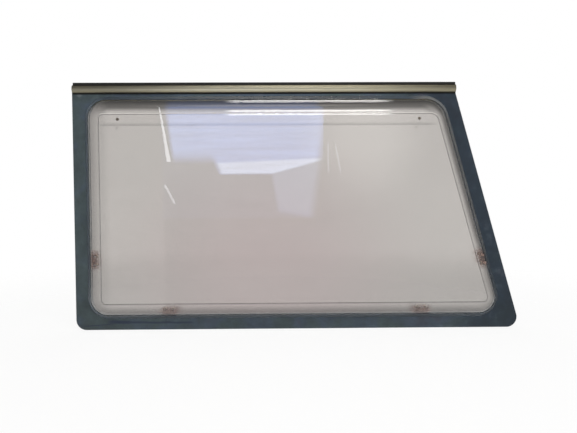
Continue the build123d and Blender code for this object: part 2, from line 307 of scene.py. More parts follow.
def rounded_outline(insets, radii):
    """Points round the window, anticlockwise from the cabin, with the way inwards at each.

    A corner's centre is where its two side lines, moved in by the radius as well, cross. Its arc is
    centre - radius * direction, with the direction turning evenly from one side's to the next. Evenly
    spaced points join the arcs.
    """
    angles, directions, distances = side_lines(insets)
    share = np.linspace(0, 1, ARC_STEPS + 1)
    arcs = []
    turns = []
    for corner, radius in enumerate(radii):
        pair = [corner, (corner + 1) % 4]
        centre = np.linalg.solve(directions[pair], distances[pair] + radius)
        angle = angles[corner] + (angles[corner + 1] - angles[corner]) * share
        turns.append(np.stack([np.cos(angle), np.sin(angle)], axis=1))
        arcs.append(centre - radius * turns[-1])
    points = []
    inwards = []
    for corner in range(4):
        following = arcs[(corner + 1) % 4]
        points += [arcs[corner], np.linspace(arcs[corner][-1], following[0], SIDE_STEPS + 1)[1:-1]]
        inwards += [turns[corner], np.repeat(turns[corner][-1:], SIDE_STEPS - 1, axis=0)]
    return np.concatenate(points), np.concatenate(inwards)


def stood_up(flat, depth):
    """Rings of flat (x, z) points, with a depth for each ring, as (x, y, z) points."""
    depth = np.broadcast_to(np.reshape(depth, (-1, 1)), flat.shape[:2])
    return np.stack([flat[..., 0], depth, flat[..., 1]], axis=-1)


def arc_about(y, z, radius, turn):
    """Points about a centre, as (y, z): radius * (sin(turn), cos(turn)) away from it."""
    return np.stack([y + radius * np.sin(turn), z + radius * np.cos(turn)], axis=1)


def carried_round(outline, profile):
    """A profile carried round an outline: each (inset, y) point moves inwards by its inset everywhere."""
    points, inwards = outline
    profile = np.asarray(profile)
    return stood_up(points + profile[:, :1, None] * inwards, profile[:, 1])


def carried_along(profile, stations):
    """A loop carried straight along: an array of (station, first, second) points, ring by ring.

    The loop is turned to run clockwise in its two coordinates, so that the faces look outwards.
    """
    profile = np.asarray(profile)
    following = np.roll(profile, -1, axis=0)
    area = (profile[:, 0] * following[:, 1] - following[:, 0] * profile[:, 1]).sum()
    loop = profile[::-1] if area > 0 else profile
    rings = np.empty((len(stations), len(loop), 3))
    rings[..., 0] = np.asarray(stations)[:, None]
    rings[..., 1:] = loop
    return rings


def turned_rings(centre, along, radius, depth, steps):
    """Rings about an axis along Y through a centre: radius by ring and angle, depth by ring.

    Angles start at the given direction and run anticlockwise from the cabin.
    """
    angle = np.linspace(0, 2 * math.pi, steps, endpoint=False)
    aside = np.array([-along[1], along[0]])
    reach = np.broadcast_to(radius, (len(depth), steps))[..., None]
    flat = centre + reach * (np.cos(angle)[:, None] * along + np.sin(angle)[:, None] * aside)
    return stood_up(flat, depth)


def ring_faces(rings, closed=False, capped=True):
    """Four-sided faces between rings that follow each other, with flat ends unless they close up."""
    count, around = rings.shape[:2]
    index = np.arange(count * around).reshape(count, around)
    here = index if closed else index[:-1]
    there = np.roll(index, -1, axis=0) if closed else index[1:]
    quads = np.stack([here, there, np.roll(there, -1, axis=1), np.roll(here, -1, axis=1)], axis=-1)
    faces = quads.reshape(-1, 4).tolist()
    if capped and not closed:
        faces += [index[0].tolist(), index[-1][::-1].tolist()]
    return faces


def joined(*surfaces):
    """Several (points, faces) surfaces as one."""
    points = []
    faces = []
    start = 0
    for surface, found in surfaces:
        points.append(surface.reshape(-1, 3))
        faces += [[start + corner for corner in face] for face in found]
        start += len(points[-1])
    return np.concatenate(points), faces


def smooth(mesh, sharp=SMOOTH_UP_TO):
    """Shades a mesh smoothly, but for its sharp edges."""
    mesh.polygons.foreach_set("use_smooth", np.ones(len(mesh.polygons), bool))
    mesh.set_sharp_from_angle(angle=sharp)


def make_mesh(name, points, faces, sharp=SMOOTH_UP_TO):
    """A mesh with smooth shading that breaks at sharp edges."""
    mesh = bpy.data.meshes.new(name)
    mesh.from_pydata(np.asarray(points).reshape(-1, 3).tolist(), [], faces)
    smooth(mesh, sharp)
    mesh.update()
    return mesh


def mark_points(mesh, name, values):
    """Gives the points of a mesh a number each, for its finish to read."""
    mesh.attributes.new(name, "FLOAT", "POINT").data.foreach_set("value", np.ravel(values))


def add_piece(name, mesh, finish, slot, *nodes):
    """A piece of the window that rides on the window's body and stands for solids of the frame."""
    piece = bpy.data.objects.new(name, mesh)
    bpy.context.scene.collection.objects.link(piece)
    mesh.materials.clear()
    mesh.materials.append(finish)
    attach(piece, BODY)
    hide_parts(*nodes)
    return piece


def add_rings(name, rings, finish, slot, node):
    """A piece made of rings with flat ends, which stands for one solid of the frame."""
    return add_piece(name, make_mesh(name, rings, ring_faces(rings)), finish, slot, node)


def cut_from(mesh, cutter):
    """The mesh with the cutter's volume taken out of it."""
    body = bpy.data.objects.new("body to cut", mesh)
    tool = bpy.data.objects.new("cutter", cutter)
    for item in (body, tool):
        bpy.context.scene.collection.objects.link(item)
    change = body.modifiers.new("cut", "BOOLEAN")
    change.operation = "DIFFERENCE"
    change.solver = "EXACT"
    change.object = tool
    bpy.context.view_layer.update()
    done = bpy.data.meshes.new_from_object(body.evaluated_get(bpy.context.evaluated_depsgraph_get()))
    for item in (body, tool):
        bpy.data.objects.remove(item)
    return done


# Finishes


class Value:
    """A number that changes over a surface: a sum with it adds a Math node to its shader."""

    def __init__(self, shader, socket):
        self.shader = shader
        self.socket = socket

    def worked(self, operation, first, second=0.0):
        return self.shader.node("ShaderNodeMath", {"operation": operation}, {0: first, 1: second})

    def __add__(self, other):
        return self.worked("ADD", self, other)

    def __radd__(self, other):
        return self.worked("ADD", other, self)

    def __sub__(self, other):
        return self.worked("SUBTRACT", self, other)

    def __rsub__(self, other):
        return self.worked("SUBTRACT", other, self)

    def __mul__(self, other):
        return self.worked("MULTIPLY", self, other)

    def __rmul__(self, other):
        return self.worked("MULTIPLY", other, self)

    def __truediv__(self, other):
        return self.worked("DIVIDE", self, other)

    def __rtruediv__(self, other):
        return self.worked("DIVIDE", other, self)

    def __pow__(self, other):
        return self.worked("POWER", self, other)

    def __abs__(self):
        return self.worked("ABSOLUTE", self)

    def larger(self, other):
        return self.worked("MAXIMUM", self, other)


class Shader:
    """A node tree in the making, with one method for every kind of node."""

    def __init__(self, tree):
        self.tree = tree
        tree.nodes.clear()

    def node(self, kind, settings=None, inputs=None, output=0):
        """Adds a node: its settings first, then its sockets, each by number or identifier."""
        node = self.tree.nodes.new(kind)
        for setting, value in (settings or {}).items():
            setattr(node, setting, value)
        for key, value in (inputs or {}).items():
            socket = self.socket(node.inputs, key)
            if isinstance(value, Value):
                self.tree.links.new(value.socket, socket)
            else:
                socket.default_value = value
        return Value(self, self.socket(node.outputs, output))

    @staticmethod
    def socket(sockets, key):
        if isinstance(key, int):
            return sockets[key]
        return next(socket for socket in sockets if socket.identifier == key)

    def parts(self, vector, axes="XZ"):
        """The named parts of a vector, each as a number."""
        return [self.node("ShaderNodeSeparateXYZ", inputs={"Vector": vector}, output=axis) for axis in axes]

    def place(self, stretch=(1.0, 1.0, 1.0)):
        """Object coordinates, stretched."""
        spot = self.node("ShaderNodeTexCoord", output="Object")
        return self.node("ShaderNodeMapping", inputs={"Vector": spot, "Scale": stretch})

    def surface_place(self, stretch=(1.0, 1.0, 1.0)):
        """Coordinates along and across the piece from its own map, in metres, stretched."""
        spot = self.node("ShaderNodeUVMap", {"uv_map": "along_across"})
        return self.node("ShaderNodeMapping", inputs={"Vector": spot, "Scale": stretch})

    def attribute(self, name):
        """A number from the points of the mesh, 0 where it has none."""
        return self.node("ShaderNodeAttribute", {"attribute_name": name}, output="Fac")

    def noise(self, place, scale, detail=3.0, roughness=0.5, distortion=0.0):
        """Cloudy noise from 0 to 1; scale is the number of clouds in a metre."""
        return self.node(
            "ShaderNodeTexNoise",
            inputs={
                "Vector": place,
                "Scale": scale,
                "Detail": detail,
                "Roughness": roughness,
                "Distortion": distortion,
            },
        )

    def rise(self, value, low, high):
        """0 below low, 1 above high and a smooth rise between them."""
        return self.node(
            "ShaderNodeMapRange",
            {"interpolation_type": "SMOOTHSTEP", "clamp": True},
            {"Value": value, "From Min": low, "From Max": high},
        )

    def fall(self, value, low, high):
        """1 below low, 0 above high and a smooth fall between them."""
        return 1.0 - self.rise(value, low, high)

    def mixed(self, share, first, second):
        """A colour between two others."""
        return self.node(
            "ShaderNodeMix",
            {"data_type": "RGBA", "clamp_factor": True},
            {"Factor_Float": share, "A_Color": first, "B_Color": second},
            "Result_Color",
        )

    def shaded(self, shade, strength):
        """A colour made darker or lighter by a number about 1."""
        tint = shade if isinstance(shade, Value) else shade[:3]
        factor = self.node("ShaderNodeCombineXYZ", inputs={0: strength, 1: strength, 2: strength})
        return self.node("ShaderNodeVectorMath", {"operation": "MULTIPLY"}, {0: tint, 1: factor})

    def bump(self, height, distance, strength=1.0):
        """A normal from a height; distance is the height of 1 in metres."""
        return self.node(
            "ShaderNodeBump", inputs={"Height": height, "Distance": distance, "Strength": strength}
        )

    def surface(self, **inputs):
        """Ends the tree in a Principled surface; names have their spaces as underscores."""
        named = {name.replace("_", " "): value for name, value in inputs.items()}
        result = self.node("ShaderNodeBsdfPrincipled", inputs=named)
        self.finish_with(result, "ShaderNodeOutputMaterial")

    def finish_with(self, result, kind):
        """Links a shader to the tree's output node."""
        output = self.tree.nodes.new(kind)
        self.tree.links.new(result.socket, output.inputs["Surface"])


def new_finish(name):
    """A new material and the shader that is being made in it."""
    material = bpy.data.materials.new(name)
    material.use_nodes = True
    return material, Shader(material.node_tree)


def grey(level):
    """An even grey."""
    return (level, level, level, 1.0)


def reach_along(x, z, direction, distance):
    """How far a place lies beyond a line: direction . (x, z) - the distance of the line."""
    return x * float(direction[0]) + z * float(direction[1]) - float(distance)


def acrylic_finish(name, colours, stains=()):
    """Clear tinted acrylic with wiping marks, fine scratches, painted shade on the panel's step and glue
    stains.

    Painted shade on the step comes from the mesh's attribute: darker above 0, painted lighter below 0.
    Each stain is a place on the wall's foot, the way inwards and the way along, and fades in both ways
    from there.
    """
    material, shader = new_finish(name)
    wiped = shader.noise(shader.place((5.0, 5.0, 16.0)), 1.0, detail=4.0, roughness=0.6)
    smears = shader.rise(wiped, 0.52, 0.75)
    fine = shader.noise(shader.place((60.0, 60.0, 1400.0)), 1.0, detail=2.0)
    scratches = shader.rise(fine, 0.68, 0.76)
    step_shade = shader.attribute("step_shade")
    # Painted shade along the raised panel's step, and painted light on its top side, from the mesh's
    # attribute
    tone = 1.0 - 0.014 * smears - 0.012 * scratches - 0.2 * step_shade
    tint = shader.shaded(colours.acrylic, tone)
    place = shader.place()
    x, z = shader.parts(place)
    blots = shader.rise(shader.noise(place, 260.0, detail=3.0, roughness=0.7), 0.38, 0.56)
    for foot, inwards, along in stains:
        beside = abs(reach_along(x, z, along, along @ foot))
        inset = reach_along(x, z, inwards, inwards @ foot)
        cover = shader.fall(beside, 10 * MM, 21 * MM) * shader.rise(inset, -1 * MM, 1 * MM)
        cover = cover * shader.fall(inset, 6 * MM, 10 * MM)
        tint = shader.mixed(0.85 * cover * blots, tint, colours.glue)
    shader.surface(
        Base_Color=tint,
        Roughness=0.004 + 0.008 * smears + 0.012 * scratches,
        IOR=1.49,
        Transmission_Weight=1.0,
    )
    return material


def border_finish(colours):
    """Matte coating: mottled in several hues, streaked along its sides, with dark marks from the seal.

    A line mark is 1 - rise(distance from the line), kept to its own stretch of the bottom border. The
    slanted side and the corner below it are darker, and the middle of the top is lighter by painted light.
    """
    material, shader = new_finish("matte border coating")
    place = shader.place()
    x, z = shader.parts(place)
    mottle = shader.noise(place, 42.0, detail=6.0, roughness=0.65)
    clouds = shader.noise(place, 7.0, detail=2.0)
    leftwards = shader.fall(x, -420 * MM, -300 * MM)
    rightwards = shader.rise(x + side_slope * z, 330 * MM, 380 * MM)
    low_right = shader.rise(x - 0.4 * z, 600 * MM, 690 * MM)
    dark_side = rightwards.larger(low_right)
    hues = shader.noise(place, 15.0, detail=4.0, distortion=0.6) - 0.1 * leftwards
    streaks = shader.noise(shader.surface_place((9.0, 150.0, 1.0)), 1.0, detail=5.0, roughness=0.65)
    shade = shader.mixed(shader.rise(hues, 0.38, 0.60), colours.border_green, colours.border)
    shade = shader.mixed(shader.rise(hues, 0.56, 0.70) * 0.8, shade, colours.border_mauve)
    shade = shader.mixed(0.6 * dark_side, shade, colours.border_navy)
    low = shader.fall(z, -490 * MM, -440 * MM)
    # Painted light: lighter in the middle of the top, where the light falls most
    painted_top_light = shader.rise(z, -40 * MM, -25 * MM) * shader.fall(abs(x - LIT_X), 150 * MM, 330 * MM)
    tone = 0.87 + 0.08 * leftwards + 1.25 * (mottle - 0.5) + 0.8 * (clouds - 0.5) + 0.75 * painted_top_light
    shade = shader.shaded(shade, tone * (1.0 - 0.45 * dark_side) * (1.0 - 0.12 * low))
    shade = shader.mixed(shader.rise(streaks, 0.54, 0.72) * 0.4 * mottle, shade, colours.border_streak)

    def line_mark(distance, width, start, end, along):
        soft = 15 * MM
        stretch = shader.rise(along, start - soft, start) * shader.fall(along, end, end + soft)
        return shader.fall(abs(distance), 0.3 * width, width) * stretch

    sway = 5 * MM * (shader.noise(shader.place((22.0, 0.0, 0.0)), 1.0, detail=2.0) - 0.5)
    seal_distance = z + 520.5 * MM + 0.01 * (x + 0.25) - sway
    seal_line = line_mark(seal_distance, 3.2 * MM, -340 * MM, -170 * MM, x)
    seal_start = line_mark(seal_distance, 5.4 * MM, -338 * MM, -305 * MM, x)
    fine_line = line_mark(z + 526.6 * MM - 0.07 * (x + 0.377), 1.7 * MM, -392 * MM, -348 * MM, x)
    upright = line_mark(x + 220.5 * MM, 1.4 * MM, -516 * MM, -508 * MM, z)
    shade = shader.mixed(seal_start.larger(0.85 * seal_line), shade, colours.border_streak)
    shade = shader.mixed(0.8 * fine_line + 0.6 * upright, shade, colours.border_streak)
    rubbed = shader.rise(mottle * 0.5 + clouds * 0.5, 0.57, 0.70)
    corner = shader.fall(abs(x + 402 * MM) + 1.6 * abs(z + 24 * MM), 2 * MM, 11 * MM)
    worn = rubbed * 0.2 + corner * 0.9 * mottle
    shade = shader.mixed(worn, shade, colours.border_scuff)
    grain = shader.noise(place, 900.0, detail=2.0)
    shader.surface(
        Base_Color=shade,
        Roughness=0.52 + 0.3 * mottle,
        Specular_IOR_Level=0.35,
        Normal=shader.bump(grain + 0.8 * mottle, 0.03 * MM),
    )
    return material


def adhesive_finish(colours):
    """Cured adhesive on the dark coating, bonded to the flange and so without a gloss of its own.

    It is a little uneven. Painted light makes it lighter on the left, on the slanted side and at both ends
    of the top, and paler beside the feet of the side walls.
    """
    material, shader = new_finish("bond adhesive")
    place = shader.place()
    lumps = shader.noise(place, 160.0, detail=3.0)
    clouds = shader.noise(place, 20.0, detail=3.0)
    x, z = shader.parts(place)
    rightwards = shader.rise(x + side_slope * z, 300 * MM, 340 * MM) * shader.rise(z, -420 * MM, -320 * MM)
    leftwards = shader.fall(x, -390 * MM, -340 * MM)
    bonded = shader.attribute("bonded")
    upwards = shader.rise(z, -75 * MM, -50 * MM) * shader.rise(abs(x - LIT_X), 60 * MM, 260 * MM)
    # Painted light: paler near the feet of the walls, by the attribute 'bonded'
    pale = (rightwards + 0.25 * leftwards) * bonded
    shade = shader.mixed(pale, colours.adhesive, colours.adhesive_pale)
    # Painted light on the left, at both ends of the top and on the slanted side
    side = 1.0 + 0.75 * leftwards + 0.5 * upwards + 0.3 * rightwards
    tone = (0.775 + 0.25 * lumps + 0.6 * clouds) * side
    shader.surface(
        Base_Color=shader.shaded(shade, tone),
        Roughness=0.65 + 0.2 * lumps,
        Specular_IOR_Level=0.0,
        Normal=shader.bump(lumps, 0.03 * MM),
    )
    return material


def anodised_finish(colours):
    """Champagne anodised aluminium drawn along its length, dulled in patches, painted shade at its ends.

    It is scratched and darker at its top, with a painted highlight on the lower half of its nose.
    """
    material, shader = new_finish("champagne anodised aluminium")
    drawn = shader.noise(shader.place((3.0, 2600.0, 2600.0)), 1.0, detail=3.0)
    stripes = shader.noise(shader.place((0.6, 500.0, 500.0)), 1.0, detail=2.0)
    patches = shader.noise(shader.place((5.0, 60.0, 60.0)), 1.0, detail=4.0)
    fine = shader.noise(shader.place((30.0, 700.0, 700.0)), 1.0, detail=2.0)
    scratch = shader.rise(fine, 0.70, 0.76)
    x, z = shader.parts(shader.place())
    top = rail_high.z
    # Darker and rougher at its top
    darkening = shader.rise(z, top - 2.4 * MM, top - 0.6 * MM)
    # A painted highlight: a lighter band low on the nose
    lip = shader.fall(abs(z - (top - 11 * MM)), 0.5 * MM, 2.2 * MM)
    # Painted light: lighter below the top and on the lower half of the nose
    lit_below_top = shader.fall(z, top - 4.5 * MM, top - 0.5 * MM)
    lit_lower_half = shader.fall(z, top - 12 * MM, top - 4.5 * MM)
    # Painted shade: darker towards the ends, away from where the light is strongest
    ends = shader.rise(abs(x - LIT_X), 120 * MM, 420 * MM)
    tone = 0.2 * drawn + 1.4 * stripes + 0.14 * patches - 0.12 * scratch + 0.15 * lip
    tone = tone * (0.57 + 0.31 * lit_below_top + 0.85 * lit_lower_half)
    tone = tone * (1.03 - 0.45 * ends) * (1.0 - 0.8 * darkening)
    shader.surface(
        Base_Color=shader.shaded(colours.anodised, tone),
        Metallic=1.0,
        Roughness=0.46 + 0.1 * patches + 0.06 * drawn + 0.2 * darkening,
        Normal=shader.bump(drawn, 0.005 * MM),
    )
    return material


def rubber_finish(name, shade, fine):
    """Black rubber, dusty in its pores."""
    material, shader = new_finish(name)
    place = shader.place()
    pores = shader.noise(place, fine, detail=4.0, roughness=0.65)
    dust = shader.rise(shader.noise(shader.place((12.0, 90.0, 90.0)), 1.0, detail=4.0), 0.5, 0.8)
    tone = 0.75 + 0.5 * pores + 0.9 * dust
    shader.surface(
        Base_Color=shader.shaded(shade, tone),
        Roughness=0.55 + 0.2 * pores + 0.1 * dust,
        Specular_IOR_Level=0.25,
        Normal=shader.bump(pores, 0.05 * MM),
    )
    return material


def resin_finish(name, colours, fixings, middle, along):
    """Cloudy reddish resin: thick in the middle, thin and see-through at its ragged ends.

    Its coordinates are centred on the block's foot and turned along it. The cover falls with the distance
    along, counted in half lengths, with the distance from the foot, counted in widths, and with the
    noise, so that the free edges are ragged.
    """
    material, shader = new_finish(f"cloudy resin of {name}")
    spot = shader.node("ShaderNodeTexCoord", output="Object")
    local = shader.node(
        "ShaderNodeMapping",
        {"vector_type": "TEXTURE"},
        {
            "Vector": spot,
            "Location": (middle[0], 0.0, middle[1]),
            "Rotation": (0.0, math.atan2(-along[1], along[0]), 0.0),
        },
    )
    beside, inset = shader.parts(local)
    ragged = shader.noise(local, 210.0, detail=4.0, roughness=0.7)
    veins = shader.noise(local, 330.0, detail=4.0, roughness=0.75, distortion=0.8)
    fray = 1.5 * (ragged - 0.5)
    cover = shader.rise(1.12 - abs(beside) * (2 / fixings.block_length) + fray, 0.0, 0.7)
    cover = cover * shader.rise(1.08 - inset / fixings.block_width + fray, 0.0, 0.6)
    shade = shader.mixed(shader.rise(veins, 0.36, 0.6), colours.resin_vein, colours.resin)
    # Painted glints: pale specks in the resin
    glint = shader.rise(shader.noise(local, 420.0, detail=1.0), 0.70, 0.76)
    shade = shader.mixed(glint, shade, colours.resin_glint)
    shader.surface(
        Base_Color=shade,
        Roughness=0.35 + 0.3 * veins,
        Alpha=cover * (0.42 + 0.5 * ragged),
        Normal=shader.bump(veins, 0.2 * MM),
    )
    return material


def brass_finish(colours):
    """Dull turned brass, worn pale."""
    material, shader = new_finish("turned brass")
    tarnish = shader.noise(shader.place(), 420.0, detail=4.0)
    shader.surface(
        Base_Color=shader.shaded(colours.brass, 0.6 + 0.7 * tarnish),
        Metallic=1.0,
        Roughness=0.25 + 0.3 * tarnish,
    )
    return material


# Pieces


def foot_insets(sheets):
    """How far the foot of the dish lies inside the pane's left, bottom, right and top sides."""
    side = dish_low.x - pane_low.x + sheets.flange_width
    bottom = dish_low.z - pane_low.z + sheets.flange_width
    top = pane_high.z - dish_high.z + sheets.flange_width
    return np.array([side, bottom, side, top])


def foot_outline(sheets):
    """The foot of the dish, where the formed wall leaves the border."""
    return rounded_outline(foot_insets(sheets), sheets.dish_corners)


def outer_pane_rings(sheets):
    """The flat sheet: its edge profile, rounded on the weather side, carried round the pane's outline."""
    land = 1.6 * MM
    cabin_edge = 0.25 * MM
    front, back = pane_low.y, pane_high.y
    edge = [(land, front), (0, front), (0, back), (land, back)]
    profile = filleted(edge, (cabin_edge, sheets.weather_edge))
    return carried_round(rounded_outline((0, 0, 0, 0), sheets.pane_corners), profile)


def formed_profile(sheets):
    """Numbers of the formed edge: depth of the dish, its wall's slope and the width of its round rim."""
    land = 1.0 * MM
    depth = dish_high.y - dish_low.y - sheets.panel_rise
    slope = math.tan(sheets.dish_draft)
    reach = math.tan((math.pi / 2 - sheets.dish_draft) / 2)
    rim = depth * slope + sheets.shoulder_radius * reach + land
    return depth, slope, rim


def inner_pane_rings(sheets):
    """The formed sheet, from its cabin face round its flange to its face on the sealed space.

    Its rim profile (flange, fillet, leaning wall, round shoulder) is carried round the dish's foot, and
    its step profile round the raised panel's own outline. The rings of both have the same stations, so
    they join up. The second result is painted shade at each point: darker on the step, painted lighter
    (below 0) on the step's top side, and 0 elsewhere.
    """
    thick = sheets.inner_thickness
    depth, slope, rim = formed_profile(sheets)
    space = depth - thick
    foot = thick / math.cos(sheets.dish_draft)
    edge_round = 0.5 * MM
    line = [
        (rim, depth),
        (depth * slope, depth),
        (thick * slope, thick),
        (-sheets.flange_width, thick),
        (-sheets.flange_width, 0),
        (foot, 0),
        (foot + space * slope, space),
        (rim, space),
    ]
    radii = (
        sheets.shoulder_radius,
        sheets.flange_fillet,
        edge_round,
        edge_round,
        sheets.flange_fillet + thick,
        sheets.shoulder_radius - thick,
    )
    rim_profile = filleted(line, radii, steps=14)
    run, rise = sheets.panel_run, sheets.panel_rise
    land = 0.8 * MM
    shift = thick * math.tan(math.atan2(rise, run) / 2)
    step = np.array([(run + land, depth + rise), (run, depth + rise), (0, depth), (-land, depth)])
    cabin_step = filleted(step, (edge_round, edge_round), steps=5)
    space_step = filleted(step[::-1] + (shift, -thick), (edge_round, edge_round), steps=5)
    panel = rounded_outline(foot_insets(sheets) + sheets.panel_insets, sheets.panel_corners)

    def towards_cabin(profile):
        return np.stack([profile[:, 0], dish_high.y - profile[:, 1]], axis=1)

    rings = np.concatenate(
        [
            carried_round(panel, towards_cabin(cabin_step)),
            carried_round(foot_outline(sheets), towards_cabin(rim_profile)),
            carried_round(panel, towards_cabin(space_step)),
        ]
    )
    # Painted shade along the step, and painted light along its top side
    step_shade = np.zeros(rings.shape[:2])
    painted_darker, painted_lighter = 1.0, -1.5
    downwards = -panel[1][:, 1]
    darkening = np.where(downwards > 0.7, painted_lighter, painted_darker)
    step_shade[1 : len(cabin_step) - 1] = darkening
    step_shade[1 - len(space_step) : -1] = darkening
    return rings, step_shade


def round_bars(centres, radius, ends, steps=32):
    """Round bars along Y between two ends, one at each (x, z) centre."""
    bars = [turned_rings(centre, SIDEWAYS, radius, ends, steps) for centre in centres]
    return joined(*[(rings, ring_faces(rings)) for rings in bars])


def node_centre(node):
    """X and Z of the middle of a solid of the frame."""
    low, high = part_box(node)
    return np.array([(low.x + high.x) / 2, (low.z + high.z) / 2])


def screw_centres():
    """X and Z of every screw hole."""
    return [node_centre(f"{name}_insert_{number}") for name in FIXINGS for number in (1, 2)]


def vent_centres():
    """X and Z of both vent plugs."""
    return [node_centre(f"{side}_vent_plug") for side in ("left", "right")]


def fixing_axes(name, sheets):
    """The place on the dish's foot beside a pair of inserts, the way inwards there and the way along."""
    middle = (node_centre(f"{name}_insert_1") + node_centre(f"{name}_insert_2")) / 2
    directions, distances = side_lines(foot_insets(sheets))[1:]
    insets = directions @ middle - distances
    side = np.argmin(insets)
    inwards = directions[side]
    return middle - insets[side] * inwards, inwards, np.array([inwards[1], -inwards[0]])


class CARAVAN_WINDOW_OT_panes(bpy.types.Operator):
    """Adds the flat outer sheet and the formed inner sheet with its holes"""

    bl_idname = "caravan_window.panes"
    bl_label = "Add panes"

    def execute(self, context):
        window = context.scene.caravan_window
        sheets, fixings = window.sheets, window.fixings
        finish = acrylic_finish("clear flat acrylic", window.colours)
        outer = add_rings("outer_pane_sheet", outer_pane_rings(sheets), finish, "outer_pane", "outer_pane")
        rings, step_shade = inner_pane_rings(sheets)
        mesh = make_mesh("inner_pane_dish", rings, ring_faces(rings))
        mark_points(mesh, "step_shade", step_shade)
        before_face, before_border = 1 * MM, 11 * MM
        ends = (dish_low.y - before_face, dish_high.y - before_border)
        screws = round_bars(screw_centres(), fixings.screw_hole_radius, ends)
        vents = round_bars(vent_centres(), fixings.vent_hole_radius, ends)
        mesh = cut_from(mesh, make_mesh("holes", *joined(screws, vents)))
        smooth(mesh)
        stains = [fixing_axes(name, sheets) for name in FIXINGS]
        finish = acrylic_finish("clear formed acrylic", window.colours, stains)
        inner = add_piece("inner_pane_dish", mesh, finish, "inner_pane", "inner_pane")
        outer.visible_shadow = False
        inner.visible_shadow = False
        return {"FINISHED"}


def border_rings(sheets, count=10):
    """The coating's band: straight lines from the dish's foot to the pane's edge, in front and behind."""
    outer = rounded_outline((0, 0, 0, 0), sheets.pane_corners)[0]
    inner = foot_outline(sheets)[0]
    share = np.linspace(0, 1, count)[:, None, None]
    front = inner + share * (outer - inner)
    flat = np.concatenate([front, front[::-1][[0, -1]]])
    return stood_up(flat, [border_low.y] * count + [border_high.y + SUNK] * 2)


def map_along_across(mesh, rings):
    """Gives a band its own map in metres: distance along its rings, and distance across them."""
    count, around = rings.shape[:2]
    middle = rings[count // 3]
    steps = np.linalg.norm(np.roll(middle, -1, axis=0) - middle, axis=1)
    along = np.concatenate([[0], np.cumsum(steps)])
    across = np.linalg.norm(rings - rings[:1], axis=-1)
    wide = np.concatenate([across, across[:, :1]], axis=1)
    follow = np.roll(wide, -1, axis=0)
    corner = np.empty((count, around, 4, 2))
    corner[..., 0] = np.stack([along[:-1], along[:-1], along[1:], along[1:]], axis=-1)
    corner[..., 1] = np.stack([wide[:, :-1], follow[:, :-1], follow[:, 1:], wide[:, 1:]], axis=-1)
    layer = mesh.uv_layers.new(name="along_across")
    layer.data.foreach_set("uv", corner.ravel())


def bead_rings(sheets):
    """The bond bead: its inner edge on the dish's foot, its outer edge wandering beyond the flange.

    The wander is three sine waves of unlike lengths round the dish.
    """
    points, inwards = foot_outline(sheets)
    station = np.linspace(0, 2 * math.pi, len(points), endpoint=False)
    wander = np.sin(23 * station) + np.sin(41 * station + 1.3) + 0.7 * np.sin(89 * station + 0.4)
    reach = sheets.flange_width + sheets.bead_squeeze * (1 + 0.14 * wander)
    edge_width, edge_drop = 0.5 * MM, 0.2 * MM
    outer = points - reach[:, None] * inwards
    middle = points - (reach[:, None] - edge_width) * inwards
    front, back = dish_high.y, border_low.y
    flat = np.stack([points, middle, outer, outer, points])
    return stood_up(flat, [front - SUNK, front - SUNK, front + edge_drop, back, back])


class CARAVAN_WINDOW_OT_border(bpy.types.Operator):
    """Adds the border coating and the bond bead"""

    bl_idname = "caravan_window.border"
    bl_label = "Add border"

    def execute(self, context):
        window = context.scene.caravan_window
        rings = border_rings(window.sheets)
        mesh = make_mesh("border_coating_film", rings, ring_faces(rings, closed=True))
        map_along_across(mesh, rings)
        finish = border_finish(window.colours)
        add_piece("border_coating_film", mesh, finish, "border_coating", "border_coating")
        rings = bead_rings(window.sheets)
        mesh = make_mesh("bond_bead_line", rings, ring_faces(rings, closed=True))
        # How much of the bead's painted paleness each ring takes
        painted_pale_by_ring = (1.0, 0.3, 0.0, 0.0, 1.0)
        mark_points(mesh, "bonded", np.repeat(painted_pale_by_ring, rings.shape[1]))
        add_piece("bond_bead_line", mesh, adhesive_finish(window.colours), "bond_bead", "bond_bead")
        return {"FINISHED"}


def front_leg_y():
    """Y of the rail's front leg where the glazing strip's top lies against it."""
    points = node_points("glazing_strip")
    return points[points[:, 2] > strip_high.z - 0.1 * MM, 1].min()


